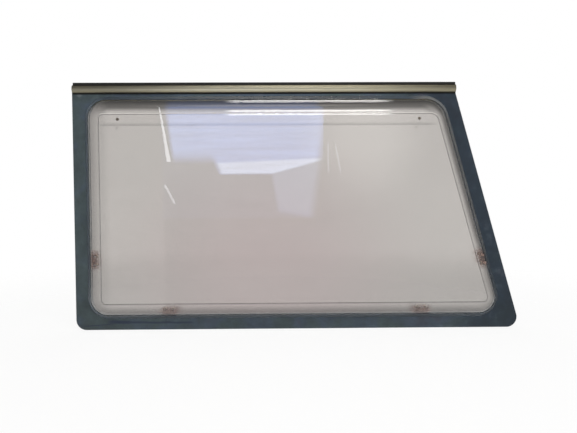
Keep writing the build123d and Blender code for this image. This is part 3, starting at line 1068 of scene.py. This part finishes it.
def rail_section(hinge):
    """The rail's outside loop and its hollow chamber's loop, as (y, z) points.

    The nose is an arc through the rail's two front corners, with grooves cut into its radius as bell
    curves. The bore is an arc that the neck's slot leaves open at the top.
    """
    nose_steps, bore_steps, chamber_steps = 150, 60, 40
    top, nose_back = rail_high.z, rail_low.y + hinge.nose_bulge
    nose_bottom = top - hinge.nose_height
    nose_middle = (top + nose_bottom) / 2
    half = hinge.nose_height / 2
    radius = (half**2 + hinge.nose_bulge**2) / (2 * hinge.nose_bulge)
    centre_y = rail_low.y + radius
    forwards = -math.pi / 2
    widest = math.asin(half / radius)
    angle = np.linspace(widest, -widest, nose_steps)
    rib_step = 2 * math.asin(hinge.rib_spacing / 2 / radius)
    ribs = (np.arange(hinge.rib_count) - (hinge.rib_count - 1) / 2) * rib_step
    groove_width = 1.2 * hinge.rib_depth
    offset = (angle[:, None] - ribs) * radius / groove_width
    reach = radius - hinge.rib_depth * np.exp(-(offset**2)).sum(axis=1)
    nose = arc_about(centre_y, nose_middle, reach, forwards + angle)
    strip_middle = (flap_low.y + flap_high.y) / 2
    neck_half = hinge.neck_thickness / 2 + hinge.neck_clearance
    bore_z = top - hinge.top_wall - hinge.bore_radius
    slot_top = bore_z - hinge.bore_radius - hinge.slot_web
    front_leg = front_leg_y()
    back_line = [
        (nose_back, nose_bottom),
        (front_leg, nose_bottom),
        (front_leg, slot_top),
        (pane_high.y, slot_top),
        (pane_high.y, rail_low.z),
        (rail_high.y, rail_low.z),
        (rail_high.y, top),
        (strip_middle + neck_half, top),
    ]
    small, back_round = 0.2 * MM, 0.8 * MM
    back = filleted(back_line, (small, small, small, small, small, back_round), steps=4)
    opening = math.asin(neck_half / hinge.bore_radius)
    turn = np.linspace(opening, 2 * math.pi - opening, bore_steps)
    bore = arc_about(strip_middle, bore_z, hinge.bore_radius, turn)
    lip = [(strip_middle - neck_half, top)]
    outside = np.concatenate([nose, back[1:], bore, lip])
    bore_wall = 1.2 * MM
    chamber_back = strip_middle - hinge.bore_radius - bore_wall
    inner_radius = radius - hinge.nose_wall
    chamber_half = math.acos((centre_y - chamber_back) / inner_radius)
    bend = np.linspace(chamber_half, -chamber_half, chamber_steps)
    return outside, arc_about(centre_y, nose_middle, inner_radius, forwards + bend)


def rail_surface(hinge):
    """The rail: both loops carried along X, with end faces that leave the chamber open."""
    outside, chamber = rail_section(hinge)
    stations = [rail_low.x, rail_high.x]
    shell = carried_along(outside, stations)
    hollow = carried_along(chamber, stations)[:, ::-1]
    shell_faces = ring_faces(shell, capped=False)
    hollow_faces = ring_faces(hollow, capped=False)
    points, faces = joined((shell, shell_faces), (hollow, hollow_faces))
    count, inside = shell.shape[1], hollow.shape[1]
    near = [[Vector(point) for point in shell[0]], [Vector(point) for point in hollow[0]]]
    caps = np.array(tessellate_polygon(near))
    near_index = np.concatenate([np.arange(count), 2 * count + np.arange(inside)])
    far_index = np.concatenate([count + np.arange(count), 2 * count + inside + np.arange(inside)])
    first = points[near_index[caps]]
    normal = np.cross(first[:, 1] - first[:, 0], first[:, 2] - first[:, 0])[:, 0]
    caps = np.where(normal[:, None] > 0, caps[:, ::-1], caps)
    faces += near_index[caps].tolist() + far_index[caps[:, ::-1]].tolist()
    return points, faces


def strip_section(hinge):
    """The hinge strip's loop: a flap with round corners, a neck and a round bead, as (y, z) points."""
    middle = (flap_low.y + flap_high.y) / 2
    flap_bottom = flap_high.z - hinge.flap_height
    bead_z = flap_low.z + hinge.bead_radius
    half_neck, half_flap = hinge.neck_thickness / 2, hinge.flap_thickness / 2
    opening = math.asin(half_neck / hinge.bead_radius)
    bead_steps = 48
    turn = np.linspace(opening, 2 * math.pi - opening, bead_steps)
    bead = arc_about(middle, bead_z, hinge.bead_radius, turn)
    flap = [
        (middle - half_neck, bead_z + hinge.bead_radius),
        (middle - half_neck, flap_bottom),
        (middle - half_flap, flap_bottom),
        (middle - half_flap, flap_high.z),
        (middle + half_flap, flap_high.z),
        (middle + half_flap, flap_bottom),
        (middle + half_neck, flap_bottom),
        (middle + half_neck, bead_z + hinge.bead_radius),
    ]
    small = 0.15 * MM
    corner = 0.5 * MM
    return np.concatenate([bead, filleted(flap, (small, corner, corner, corner, corner, small), steps=5)])


def glazing_section(hinge):
    """The glazing strip's loop: a flat strip behind the rail's leg and a bulging lip below it."""
    leg = front_leg_y()
    lip_top = rail_high.z - hinge.nose_height
    small, bulge, tuck = 0.3 * MM, 1.2 * MM, 0.1 * MM
    bulge_bottom = lip_top - 0.55 * (lip_top - strip_low.z)
    lip = [
        (leg, lip_top),
        (strip_low.y, lip_top),
        (strip_low.y + tuck, bulge_bottom),
        (strip_high.y, strip_low.z),
        (strip_high.y, strip_high.z),
        (leg, strip_high.z),
    ]
    return filleted(lip, (small, bulge, small, small), steps=6)


def wandering(stations, reach, phase):
    """A slow sideways wander along a strip: three sine waves of unlike lengths."""
    stations = np.asarray(stations)
    wave = np.sin(17 * stations + phase) + 0.6 * np.sin(43 * stations + 2 * phase)
    return (reach * (wave + 0.4 * np.sin(97 * stations)) / 2)[:, None]


class CARAVAN_WINDOW_OT_hinge(bpy.types.Operator):
    """Adds the hinge rail, the hinge strip and the glazing strip"""

    bl_idname = "caravan_window.hinge"
    bl_label = "Add hinge"

    def execute(self, context):
        window = context.scene.caravan_window
        hinge = window.hinge
        ribs_smooth_up_to = math.radians(50)
        mesh = make_mesh("hinge_rail_bar", *rail_surface(hinge), ribs_smooth_up_to)
        add_piece("hinge_rail_bar", mesh, anodised_finish(window.colours), "hinge_rail", "hinge_rail")
        strip_rings = 120
        stations = np.linspace(flap_low.x, flap_high.x, strip_rings)
        rings = carried_along(strip_section(hinge), stations)
        rings[..., 1] += wandering(stations, hinge.strip_waviness, 0.7) * (rings[..., 2] > rail_high.z)
        finish = rubber_finish("weathered hinge rubber", window.colours.rubber, 500.0)
        add_rings("hinge_strip_flap", rings, finish, "hinge_strip", "hinge_strip")
        rings = carried_along(glazing_section(hinge), stations)
        finish = rubber_finish("black glazing rubber", window.colours.rubber, 700.0)
        add_rings("glazing_strip_lip", rings, finish, "glazing_strip", "glazing_strip")
        return {"FINISHED"}


def block_rings(sheets, fixings, foot, inwards, along, phase):
    """A resin block: its section, which fills the corner behind the shoulder, carried along its side.

    The section is (inset, depth): up the formed sheet's inner face, held off by the bond gap, and straight
    down to the block's back. Two sine waves round the section move its ends, and two along it its free
    side.
    """
    gap = 0.15 * MM
    thick = sheets.inner_thickness
    depth, slope = formed_profile(sheets)[:2]
    space = depth - thick - gap
    foot_line = thick / math.cos(sheets.dish_draft) + gap
    back = dish_high.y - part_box("left_catch_block")[1].y
    width = fixings.block_width
    face = [(foot_line + back * slope, back), (foot_line + space * slope, space), (width, space)]
    face = filleted(face, (sheets.shoulder_radius - thick - gap,), steps=16)
    section = np.concatenate([face, [(width, space / 2 + back / 2), (width, back)]])
    sections = 22
    rings = carried_along(section, np.linspace(-0.5, 0.5, sections) * fixings.block_length)
    around = np.linspace(0, 2 * math.pi, rings.shape[1], endpoint=False)
    ends = 0.06 + 0.03 * np.sin(3 * around + phase) + 0.03 * np.sin(5 * around - 2 * phase)
    rings[..., 0] *= 1 - ends
    wave = 1 + np.sin(290 * rings[..., 0] + phase) / 2 + np.sin(530 * rings[..., 0] - phase) / 2
    free = rings[..., 1] > width - 0.1 * MM
    raggedness = 0.7 * MM
    rings[..., 1] -= raggedness * wave * free
    flat = foot + rings[..., :1] * along + rings[..., 1:2] * inwards
    return np.stack([flat[..., 0], dish_high.y - rings[..., 2], flat[..., 1]], axis=-1)


def hexagon(across, steps):
    """Distance from a hexagon's middle to its edge: half its width / cos(angle from a flat's middle)."""
    angle = np.linspace(0, 2 * math.pi, steps, endpoint=False)
    return across / 2 / np.cos(np.mod(angle, math.pi / 3) - math.pi / 6)


def seat_surface(fixings, centre, along):
    """A hexagonal bar that leaves an insert's seat in its block."""
    radius = hexagon(fixings.insert_across + 2 * fixings.seat_clearance, 6)
    rings = turned_rings(centre, along, radius, [dish_low.y, dish_high.y], 6)
    return rings, ring_faces(rings)


def insert_rings(node, fixings, centre, along):
    """A threaded insert: hexagonal outside, a thread inside.

    The thread's radius is bore + depth * triangle(depth along / pitch - angle / full turn), with open ends.
    """
    steps, thread_rings = 48, 44
    low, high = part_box(node)
    depth = np.linspace(high.y, low.y, thread_rings)
    turn = np.linspace(0, 1, steps, endpoint=False)
    thread = np.abs(2 * np.mod(depth[:, None] / fixings.thread_pitch - turn, 1) - 1)
    bore = fixings.insert_bore + fixings.thread_depth * thread
    outside = np.broadcast_to(hexagon(fixings.insert_across, steps), (2, steps))
    return turned_rings(
        centre, along, np.concatenate([outside, bore]), np.concatenate([[low.y, high.y], depth]), steps
    )


def plug_rings(node, fixings):
    """A vent plug: a dimpled head with a bevelled edge and a stem, turned about its axis."""
    low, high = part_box(node)
    head = (high.x - low.x) / 2
    clearance, tip_length, tip_bevel = 0.1 * MM, 0.3 * MM, 0.4 * MM
    stem = fixings.vent_hole_radius - clearance
    pole, dimple, dimple_radius, bevel = 0.2 * MM, 0.3 * MM, 1.1 * MM, 0.5 * MM
    line = [
        (pole, low.y + dimple),
        (dimple_radius - dimple, low.y + dimple),
        (dimple_radius, low.y),
        (head - bevel, low.y),
        (head, low.y + bevel),
        (head, dish_low.y),
        (stem, dish_low.y),
        (stem, high.y - tip_length),
        (stem - tip_bevel, high.y),
        (pole, high.y),
    ]
    rounds = np.array([0.1, 0.1, 0.2, 0.2, 0.1, 0.05, 0.15, 0.1]) * MM
    profile = filleted(line, rounds, steps=4)
    return turned_rings(node_centre(node), SIDEWAYS, profile[:, :1], profile[:, 1], 40)


class CARAVAN_WINDOW_OT_fixings(bpy.types.Operator):
    """Adds the bonded blocks and their threaded inserts"""

    bl_idname = "caravan_window.fixings"
    bl_label = "Add fixings"

    def execute(self, context):
        window = context.scene.caravan_window
        sheets, fixings = window.sheets, window.fixings
        brass = brass_finish(window.colours)
        for number, name in enumerate(FIXINGS):
            foot, inwards, along = fixing_axes(name, sheets)
            rings = block_rings(sheets, fixings, foot, inwards, along, phase=1.7 * number)
            mesh = make_mesh(f"{name}_block_resin", rings, ring_faces(rings))
            seats = []
            for screw in (1, 2):
                node = f"{name}_insert_{screw}"
                centre = node_centre(node)
                rings = insert_rings(node, fixings, centre, along)
                insert = make_mesh(f"{node}_thread", rings, ring_faces(rings, closed=True))
                add_piece(f"{node}_thread", insert, brass, "brass_insert", node)
                seats.append(seat_surface(fixings, centre, along))
            mesh = cut_from(mesh, make_mesh("seats", *joined(*seats)))
            finish = resin_finish(name, window.colours, fixings, foot, along)
            add_piece(f"{name}_block_resin", mesh, finish, "fixing_block", f"{name}_block")
        return {"FINISHED"}


class CARAVAN_WINDOW_OT_vents(bpy.types.Operator):
    """Adds the two vent plugs"""

    bl_idname = "caravan_window.vents"
    bl_label = "Add vents"

    def execute(self, context):
        window = context.scene.caravan_window
        finish = rubber_finish("vent plug rubber", window.colours.plug, 900.0)
        for side in ("left", "right"):
            node = f"{side}_vent_plug"
            add_rings(f"{node}_cap", plug_rings(node, window.fixings), finish, "vent_plug", node)
        return {"FINISHED"}


# Stage


ROOM_Y = -2.5  # the side of the room that the panes mirror to the eye
NEARER = 10 * MM  # how far lamps in front of the room window stand off it
LAMP_WHITE = (1.0, 0.985, 0.96)
CURTAIN_WHITE = (0.95, 0.96, 1.0)
SKY_BLUE = (0.31, 0.46, 1.0, 1.0)
BLIND_BLUE = (0.62, 0.73, 1.0, 1.0)


def turned_to(place, look, roll):
    """The matrix of a camera or lamp at a place, looking along a way and rolled about it."""
    facing = Vector(look).to_track_quat("-Z", "Y").to_matrix().to_4x4()
    return Matrix.Translation(place) @ facing @ Matrix.Rotation(roll, 4, "Z")


def add_camera(scene, stage):
    """A camera at the eye, looking along the view, turned by the roll."""
    data = bpy.data.cameras.new("camera")
    data.sensor_width = 36.0
    data.lens = stage.lens
    data.clip_start = 0.01
    camera = bpy.data.objects.new("camera", data)
    camera.matrix_world = turned_to(stage.eye, stage.look, stage.roll)
    scene.collection.objects.link(camera)
    scene.camera = camera


def add_surroundings(scene, stage):
    """White to the eye, pale through clear sheets and even on matte surfaces.

    In mirrors the room is dim in front, darker overhead and on the left, with a bright zone above the eye
    and another below it. Behind the window it is lighter on the left than on the right.
    """
    world = bpy.data.worlds.new("surroundings")
    scene.world = world
    world.use_nodes = True
    shader = Shader(world.node_tree)
    direction = shader.node("ShaderNodeTexCoord", output="Generated")
    height, aside, behind = shader.parts(direction, "ZXY")
    dim, dark, bright = (0.46, 0.455, 0.45, 1.0), (0.20, 0.195, 0.19, 1.0), (3.2, 3.1, 2.9, 1.0)
    far = shader.mixed(shader.rise(aside, -0.2, 0.2), grey(0.7), grey(0.12))
    room = shader.mixed(shader.rise(behind, -0.3, 0.2), dim, far)
    room = shader.mixed(shader.rise(height, 0.16, 0.45), room, dark)
    room = shader.mixed(shader.fall(aside, -0.45, -0.15), room, dark)
    zone = shader.rise(abs(height), 0.20, 0.30) * shader.fall(abs(height), 0.45, 0.70)
    zone = zone * shader.fall(abs(aside + 0.04), 0.02, 0.30) * shader.fall(behind, -0.3, 0.0)
    room = shader.mixed(zone, room, bright)
    beyond = shader.mixed(shader.rise(behind, 0.2, 0.6), grey(0.25), WHITE)

    def background(shade, strength=1.0):
        return shader.node("ShaderNodeBackground", inputs={"Color": shade, "Strength": strength})

    result = background(WHITE, stage.ambient)
    for ray, shade in (("Glossy", room), ("Transmission", beyond), ("Camera", WHITE)):
        share = shader.node("ShaderNodeLightPath", output=f"Is {ray} Ray")
        result = shader.node("ShaderNodeMixShader", inputs={0: share, 1: result, 2: background(shade)})
    shader.finish_with(result, "ShaderNodeOutputWorld")


def add_stage_piece(name, points, faces):
    """A plain piece of the stage."""
    mesh = bpy.data.meshes.new(name)
    mesh.from_pydata(np.asarray(points).tolist(), [], faces)
    piece = bpy.data.objects.new(name, mesh)
    bpy.context.scene.collection.objects.link(piece)
    return piece


def beside_border(shader, x, z, sheets):
    """The distance inside the border's rounded corners, and how light the backdrop is there.

    The distance is radius - length of (radius - each side's distance), and each side's own shading counts
    by its share of that length squared. It is darkest under the rail and at the slanted side.
    """
    radius = 42 * MM
    tiny = 1e-9
    closeness = []
    for direction, distance in zip(*side_lines(foot_insets(sheets))[1:]):
        closeness.append((radius - reach_along(x, z, direction, distance)).larger(0.0) ** 2.0)
    total = sum(closeness)
    inside = radius - total**0.5
    slant_depth = 0.50 + 0.30 * shader.rise(z, -420 * MM, -320 * MM)
    left = 0.60 + 0.27 * shader.rise(inside, -4 * MM, 22 * MM)
    left = left + 0.13 * shader.rise(inside, 22 * MM, 42 * MM)
    bottom = 0.40 + 0.60 * shader.rise(inside, 0.0, 24 * MM)
    right = 1.0 - slant_depth * shader.fall(inside, -6 * MM, 15 * MM)
    top = 0.07 + 0.16 * shader.rise(inside, -3 * MM, 13 * MM)
    top = top + 0.77 * shader.rise(inside, 13 * MM, 26 * MM)
    weighted = tiny
    for share, shading in zip(closeness, (left, bottom, right, top)):
        weighted = weighted + share * shading
    return inside, weighted / (total + tiny)


def add_backdrop(stage, sheets):
    """A pale sheet close behind the window, seen only through its panes.

    Its painted shade and light make it darker beside the border and low down, and lighter in a patch at
    the upper right; it is rosier low down, and a faint upright step on the left is a painted reflection of
    the curtain's edge. Painted shadows of the panel's upper edge and the plugs lie on it, a painted
    reflection of the sky tints it under the rail, and glue stains show behind the fixings.
    """
    margin = 0.2
    y = pane_high.y + 8 * MM
    left, right = pane_low.x - margin, pane_high.x + margin
    bottom, top = pane_low.z, pane_high.z + margin
    points = [(left, y, bottom), (right, y, bottom), (right, y, top), (left, y, top)]
    backdrop = add_stage_piece("backdrop", points, [[0, 1, 2, 3]])
    material, shader = new_finish("pale backdrop")
    place = shader.place()
    x, z = shader.parts(place)
    inside, shade = beside_border(shader, x, z, sheets)

    def from_spot(across, up):
        spot = (across, y, up)
        return shader.node("ShaderNodeVectorMath", {"operation": "DISTANCE"}, {0: place, 1: spot}, "Value")

    def faint(distance, low, high):
        return shader.fall(abs(distance), low, high)

    # Painted shadows of the panel's upper edge and of the plugs
    edge_z, plug_shadow_z = -88.3 * MM, -93.0 * MM
    edge = z - edge_z
    edge_shadow = 0.28 * shader.rise(edge, -0.5 * MM, 0.5 * MM) * faint(edge, 0.0, 9 * MM)
    stretch = shader.rise(x, -370 * MM, -350 * MM) * shader.fall(x, 355 * MM, 390 * MM)
    left_plug_shadow = faint(from_spot(-325.0 * MM, plug_shadow_z), 1 * MM, 5 * MM)
    right_plug_shadow = faint(from_spot(333.3 * MM, plug_shadow_z), 1 * MM, 5 * MM)
    shade = shade * (1.0 - edge_shadow * stretch - 0.25 * (left_plug_shadow + right_plug_shadow))
    # A painted pool of light at the upper right
    shade = shade * (1.0 + 0.19 * faint(from_spot(0.22, -0.11), 0.03, 0.17))
    # A painted reflection of the curtain's edge: lighter left of it, darker right of it, low down
    fold = shader.rise(x, -226 * MM, -222 * MM)
    reflection_step = 0.06 * fold * shader.fall(x, -222 * MM, -40 * MM) - 0.025
    shade = shade * (1.0 - reflection_step * shader.fall(z, -240 * MM, -170 * MM))
    low_down = shader.fall(z, -455 * MM, -355 * MM)
    shade = shade * (1.0 - low_down * (0.19 + 0.09 * shader.rise(abs(x + 40 * MM), 50 * MM, 400 * MM)))
    rosy = from_spot(0.0, pane_low.z + 0.1)
    pale = shader.mixed(shader.rise(rosy, 0.05, 0.42), stage.backdrop_shade, stage.backdrop)
    # A painted reflection of the sky, under the rail
    sky = shader.rise(x, -225 * MM, -205 * MM) * shader.fall(x, 105 * MM, 125 * MM)
    sky = sky * shader.rise(z, -75 * MM, -60 * MM) * shader.fall(inside, 13 * MM, 20 * MM)
    painted_sky_reflection = (0.93, 1.08, 1.67, 1.0)
    pale = shader.mixed(sky, pale, painted_sky_reflection)
    smudges = shader.rise(shader.noise(place, 160.0, detail=3.0, roughness=0.7), 0.3, 0.62)
    for name in FIXINGS:
        foot, inwards, along = fixing_axes(name, sheets)
        beside = reach_along(x, z, along, along @ foot)
        inset = reach_along(x, z, inwards, inwards @ foot)
        stain = faint(beside, 10 * MM, 27 * MM) * faint(inset, 8 * MM, 26 * MM) * smudges
        pale = shader.mixed(0.55 * stain, pale, stage.backdrop_stain)
    glow = {"Color": pale, "Strength": shade * stage.backdrop_glow}
    result = shader.node("ShaderNodeEmission", inputs=glow)
    shader.finish_with(result, "ShaderNodeOutputMaterial")
    backdrop.data.materials.append(material)
    backdrop.visible_camera = False
    backdrop.visible_diffuse = False
    backdrop.visible_glossy = False
    backdrop.visible_shadow = False


def add_floor():
    """A pale round floor under the window, which fades out into the surroundings."""
    radius, steps = 1.6, 64
    fade_start, fade_end = 0.45, 1.4
    glow_share = 0.86
    angle = np.linspace(0, 2 * math.pi, steps, endpoint=False)
    height = np.full(steps, pane_low.z)
    points = np.stack([radius * np.cos(angle), radius * np.sin(angle), height], axis=1)
    floor = add_stage_piece("floor", points, [list(range(steps))])
    material, shader = new_finish("pale floor")
    spot = shader.place((1.0, 1.0, 0.0))
    distance = shader.node("ShaderNodeVectorMath", {"operation": "LENGTH"}, {0: spot}, "Value")
    fade = shader.rise(distance, fade_start, fade_end)
    matte = shader.node("ShaderNodeBsdfDiffuse", inputs={"Color": (0.9, 0.9, 0.89, 1.0)})
    glow = shader.node("ShaderNodeEmission", inputs={"Color": WHITE, "Strength": 1.0})
    pale = shader.node("ShaderNodeMixShader", inputs={0: glow_share, 1: matte, 2: glow})
    clear = shader.node("ShaderNodeBsdfTransparent")
    result = shader.node("ShaderNodeMixShader", inputs={0: fade, 1: pale, 2: clear})
    shader.finish_with(result, "ShaderNodeOutputMaterial")
    floor.data.materials.append(material)


def add_area(name, place, target, size, radiance, shade, roll=0.0, mirrored=True):
    """A rectangular lamp that faces a target and isn't seen itself; its power is radiance * area * pi.

    A mirrored lamp shows only in shiny surfaces, and the others light only matte ones.
    """
    data = bpy.data.lights.new(name, "AREA")
    data.shape = "RECTANGLE"
    data.size, data.size_y = size
    data.energy = radiance * size[0] * size[1] * math.pi
    data.color = shade
    data.use_nodes = True
    lamp = bpy.data.objects.new(name, data)
    lamp.matrix_world = turned_to(place, Vector(target) - Vector(place), roll)
    bpy.context.scene.collection.objects.link(lamp)
    lamp.visible_camera = False
    lamp.visible_transmission = False
    lamp.visible_diffuse = not mirrored
    lamp.visible_glossy = mirrored
    return lamp


def add_card(name, x, z, size, radiance, shade, roll=0.0, nearer=0.0):
    """A lamp straight across the room from (x, z), which shows only in shiny surfaces."""
    return add_area(name, (x, ROOM_Y + nearer, z), (x, 0.0, z), size, radiance, shade, roll)


def lamp_shader(lamp):
    """A lamp's shader, with the two coordinates from 0 to 1 along and up the lamp."""
    shader = Shader(lamp.data.node_tree)
    spread = shader.node("ShaderNodeNewGeometry", output="Parametric")
    return shader, *shader.parts(spread, "XY")


def set_glow(shader, strength, shade=WHITE):
    """Gives a lamp an uneven glow."""
    glow = shader.node("ShaderNodeEmission", inputs={"Color": shade, "Strength": strength})
    shader.finish_with(glow, "ShaderNodeOutputLight")


def add_room_window(stage):
    """The bluish window of the room, with a slanted pale blind across it.

    Along and up run from 0 to 1 over the window, and the lamp reaches a little beyond its left end. The sky
    shows above the blind, and left of the blind above a soft line. A paler patch shows below the blind on
    the right. Both ends of the window lean.
    """
    card = add_card("room window", -0.257, 0.1215, (1.184, 0.997), stage.card_radiance, WHITE[:3])
    shader, along, up = lamp_shader(card)
    along = 1.059 * along - 0.059
    blind_top = 0.394 + 0.047 * along
    blind_bottom = 0.323 + 0.3 * (along - 0.66).larger(0.0)
    rightwards = shader.rise(along + 0.4 * up, 0.43, 0.48)
    over = shader.rise(up - blind_top, -0.012, 0.012)
    under = shader.fall(up - blind_bottom, -0.006, 0.014)
    blind = (1.0 - over) * (1.0 - under) * rightwards
    patch = under * shader.rise(along + 0.15 * up, 0.69, 0.73)
    patch = patch * shader.rise(up - 0.2 * (0.9 - along), -0.02, 0.04)
    left_part = shader.rise(up, 0.39, 0.50) * (1.0 - rightwards)
    spread = shader.node("ShaderNodeCombineXYZ", inputs={0: 1.5 * along, 1: 24.0 * up})
    streaks = 0.55 + 0.9 * shader.noise(spread, 1.0)
    sky = (over * rightwards + left_part) * streaks * (1.0 - 0.7 * shader.rise(up, 0.765, 0.79))
    sky = sky * shader.rise(along + 0.12 * (up - 0.45), -0.01, 0.03)
    shade = shader.mixed(blind + 0.6 * patch, SKY_BLUE, BLIND_BLUE)
    right_end = shader.fall(along - 0.12 * up, 0.88, 0.96)
    set_glow(shader, (0.05 + sky + 1.3 * blind * streaks + 0.33 * patch) * right_end, shade)


def add_curtain():
    """Edges and folds of a curtain beside the room's window: thin lamps, the longest as a wedge."""
    edge = add_card("curtain edge", -0.838, 0.27, (0.034, 0.47), 7.5, CURTAIN_WHITE, 0.16, NEARER)
    shader, along, up = lamp_shader(edge)
    half_width = 0.10 + 0.32 * (1.0 - up)
    set_glow(shader, shader.fall(abs(along - 0.5) - half_width, -0.04, 0.04))
    add_card("curtain tail", -0.797, -0.199, (0.016, 0.15), 4.5, CURTAIN_WHITE, 0.46, NEARER)
    for number, (x, roll) in enumerate(((0.371, 0.0), (0.4425, 0.19)), 1):
        add_card(f"curtain fold {number}", x, 0.064, (0.012, 0.215), 1.6, CURTAIN_WHITE, roll)


def add_light_lines():
    """Two thin lines of light with soft edges, one above the other."""
    for number, z in enumerate((0.408, 0.384), 1):
        line = add_card(f"light line {number}", 0.236, z, (1.29, 0.021), 13.0, LAMP_WHITE, nearer=NEARER)
        shader, along, up = lamp_shader(line)
        ends = shader.rise(along, 0.0, 0.07) * shader.fall(along, 0.9, 1.0)
        set_glow(shader, ends * shader.fall(abs(up - 0.5), 0.1, 0.5))


def add_lights(stage):
    """A key lamp for the matte surfaces, and what the room mirrors in the panes and the rail.

    The room has a window, a curtain, a long light overhead and two thin lines of light, all at places
    where the panes mirror them to the eye.
    """
    middle = ((pane_low.x + pane_high.x) / 2, 0.0, (pane_low.z + pane_high.z) / 2)
    key_place, key_size = (0.25, -1.15, 0.95), (0.95, 0.38)
    add_area("key", key_place, middle, key_size, stage.key_radiance, LAMP_WHITE, mirrored=False)
    over_place, over_size = (0.15, -0.09, 0.96), (0.74, 0.80)
    shoulder = (over_place[0], dish_low.y, dish_high.z)
    overhead = add_area("overhead", over_place, shoulder, over_size, stage.overhead_radiance, LAMP_WHITE)
    shader, along, _ = lamp_shader(overhead)
    set_glow(shader, shader.rise(along, 0.0, 0.1) * shader.fall(along, 0.9, 1.0))
    add_room_window(stage)
    add_curtain()
    add_light_lines()


class CARAVAN_WINDOW_OT_stage(bpy.types.Operator):
    """Adds the floor, the backdrop, the lights, the pale surroundings and the camera"""

    bl_idname = "caravan_window.stage"
    bl_label = "Add stage"

    def execute(self, context):
        window = context.scene.caravan_window
        context.scene.view_settings.view_transform = "Standard"
        add_camera(context.scene, window.stage)
        add_surroundings(context.scene, window.stage)
        add_floor()
        add_backdrop(window.stage, window.sheets)
        add_lights(window.stage)
        return {"FINISHED"}


# Panel and registration


class CARAVAN_WINDOW_PT_panel(bpy.types.Panel):
    """Lists the window's operators and settings"""

    bl_idname = "CARAVAN_WINDOW_PT_panel"
    bl_label = "Caravan Side Window"
    bl_space_type = "VIEW_3D"
    bl_region_type = "UI"
    bl_category = "Window"

    def draw(self, context):
        window = context.scene.caravan_window
        for operator in OPERATORS:
            self.layout.operator(operator.bl_idname)
        for group in (window.sheets, window.hinge, window.fixings, window.colours, window.stage):
            box = self.layout.box()
            for name in group.__annotations__:
                box.prop(group, name)


OPERATORS = (
    CARAVAN_WINDOW_OT_panes,
    CARAVAN_WINDOW_OT_border,
    CARAVAN_WINDOW_OT_hinge,
    CARAVAN_WINDOW_OT_fixings,
    CARAVAN_WINDOW_OT_vents,
    CARAVAN_WINDOW_OT_stage,
)
GROUPS = (WindowSheets, WindowHinge, WindowFixings, WindowColours, WindowStage, WindowSettings)


def register():
    for item in (*GROUPS, *OPERATORS, CARAVAN_WINDOW_PT_panel):
        bpy.utils.register_class(item)
    bpy.types.Scene.caravan_window = PointerProperty(type=WindowSettings)


def unregister():
    del bpy.types.Scene.caravan_window
    for item in reversed((*GROUPS, *OPERATORS, CARAVAN_WINDOW_PT_panel)):
        bpy.utils.unregister_class(item)


def main():
    register()
    bpy.ops.caravan_window.panes()
    bpy.ops.caravan_window.border()
    bpy.ops.caravan_window.hinge()
    bpy.ops.caravan_window.fixings()
    bpy.ops.caravan_window.vents()
    bpy.ops.caravan_window.stage()


if __name__ == "__main__":
    main()
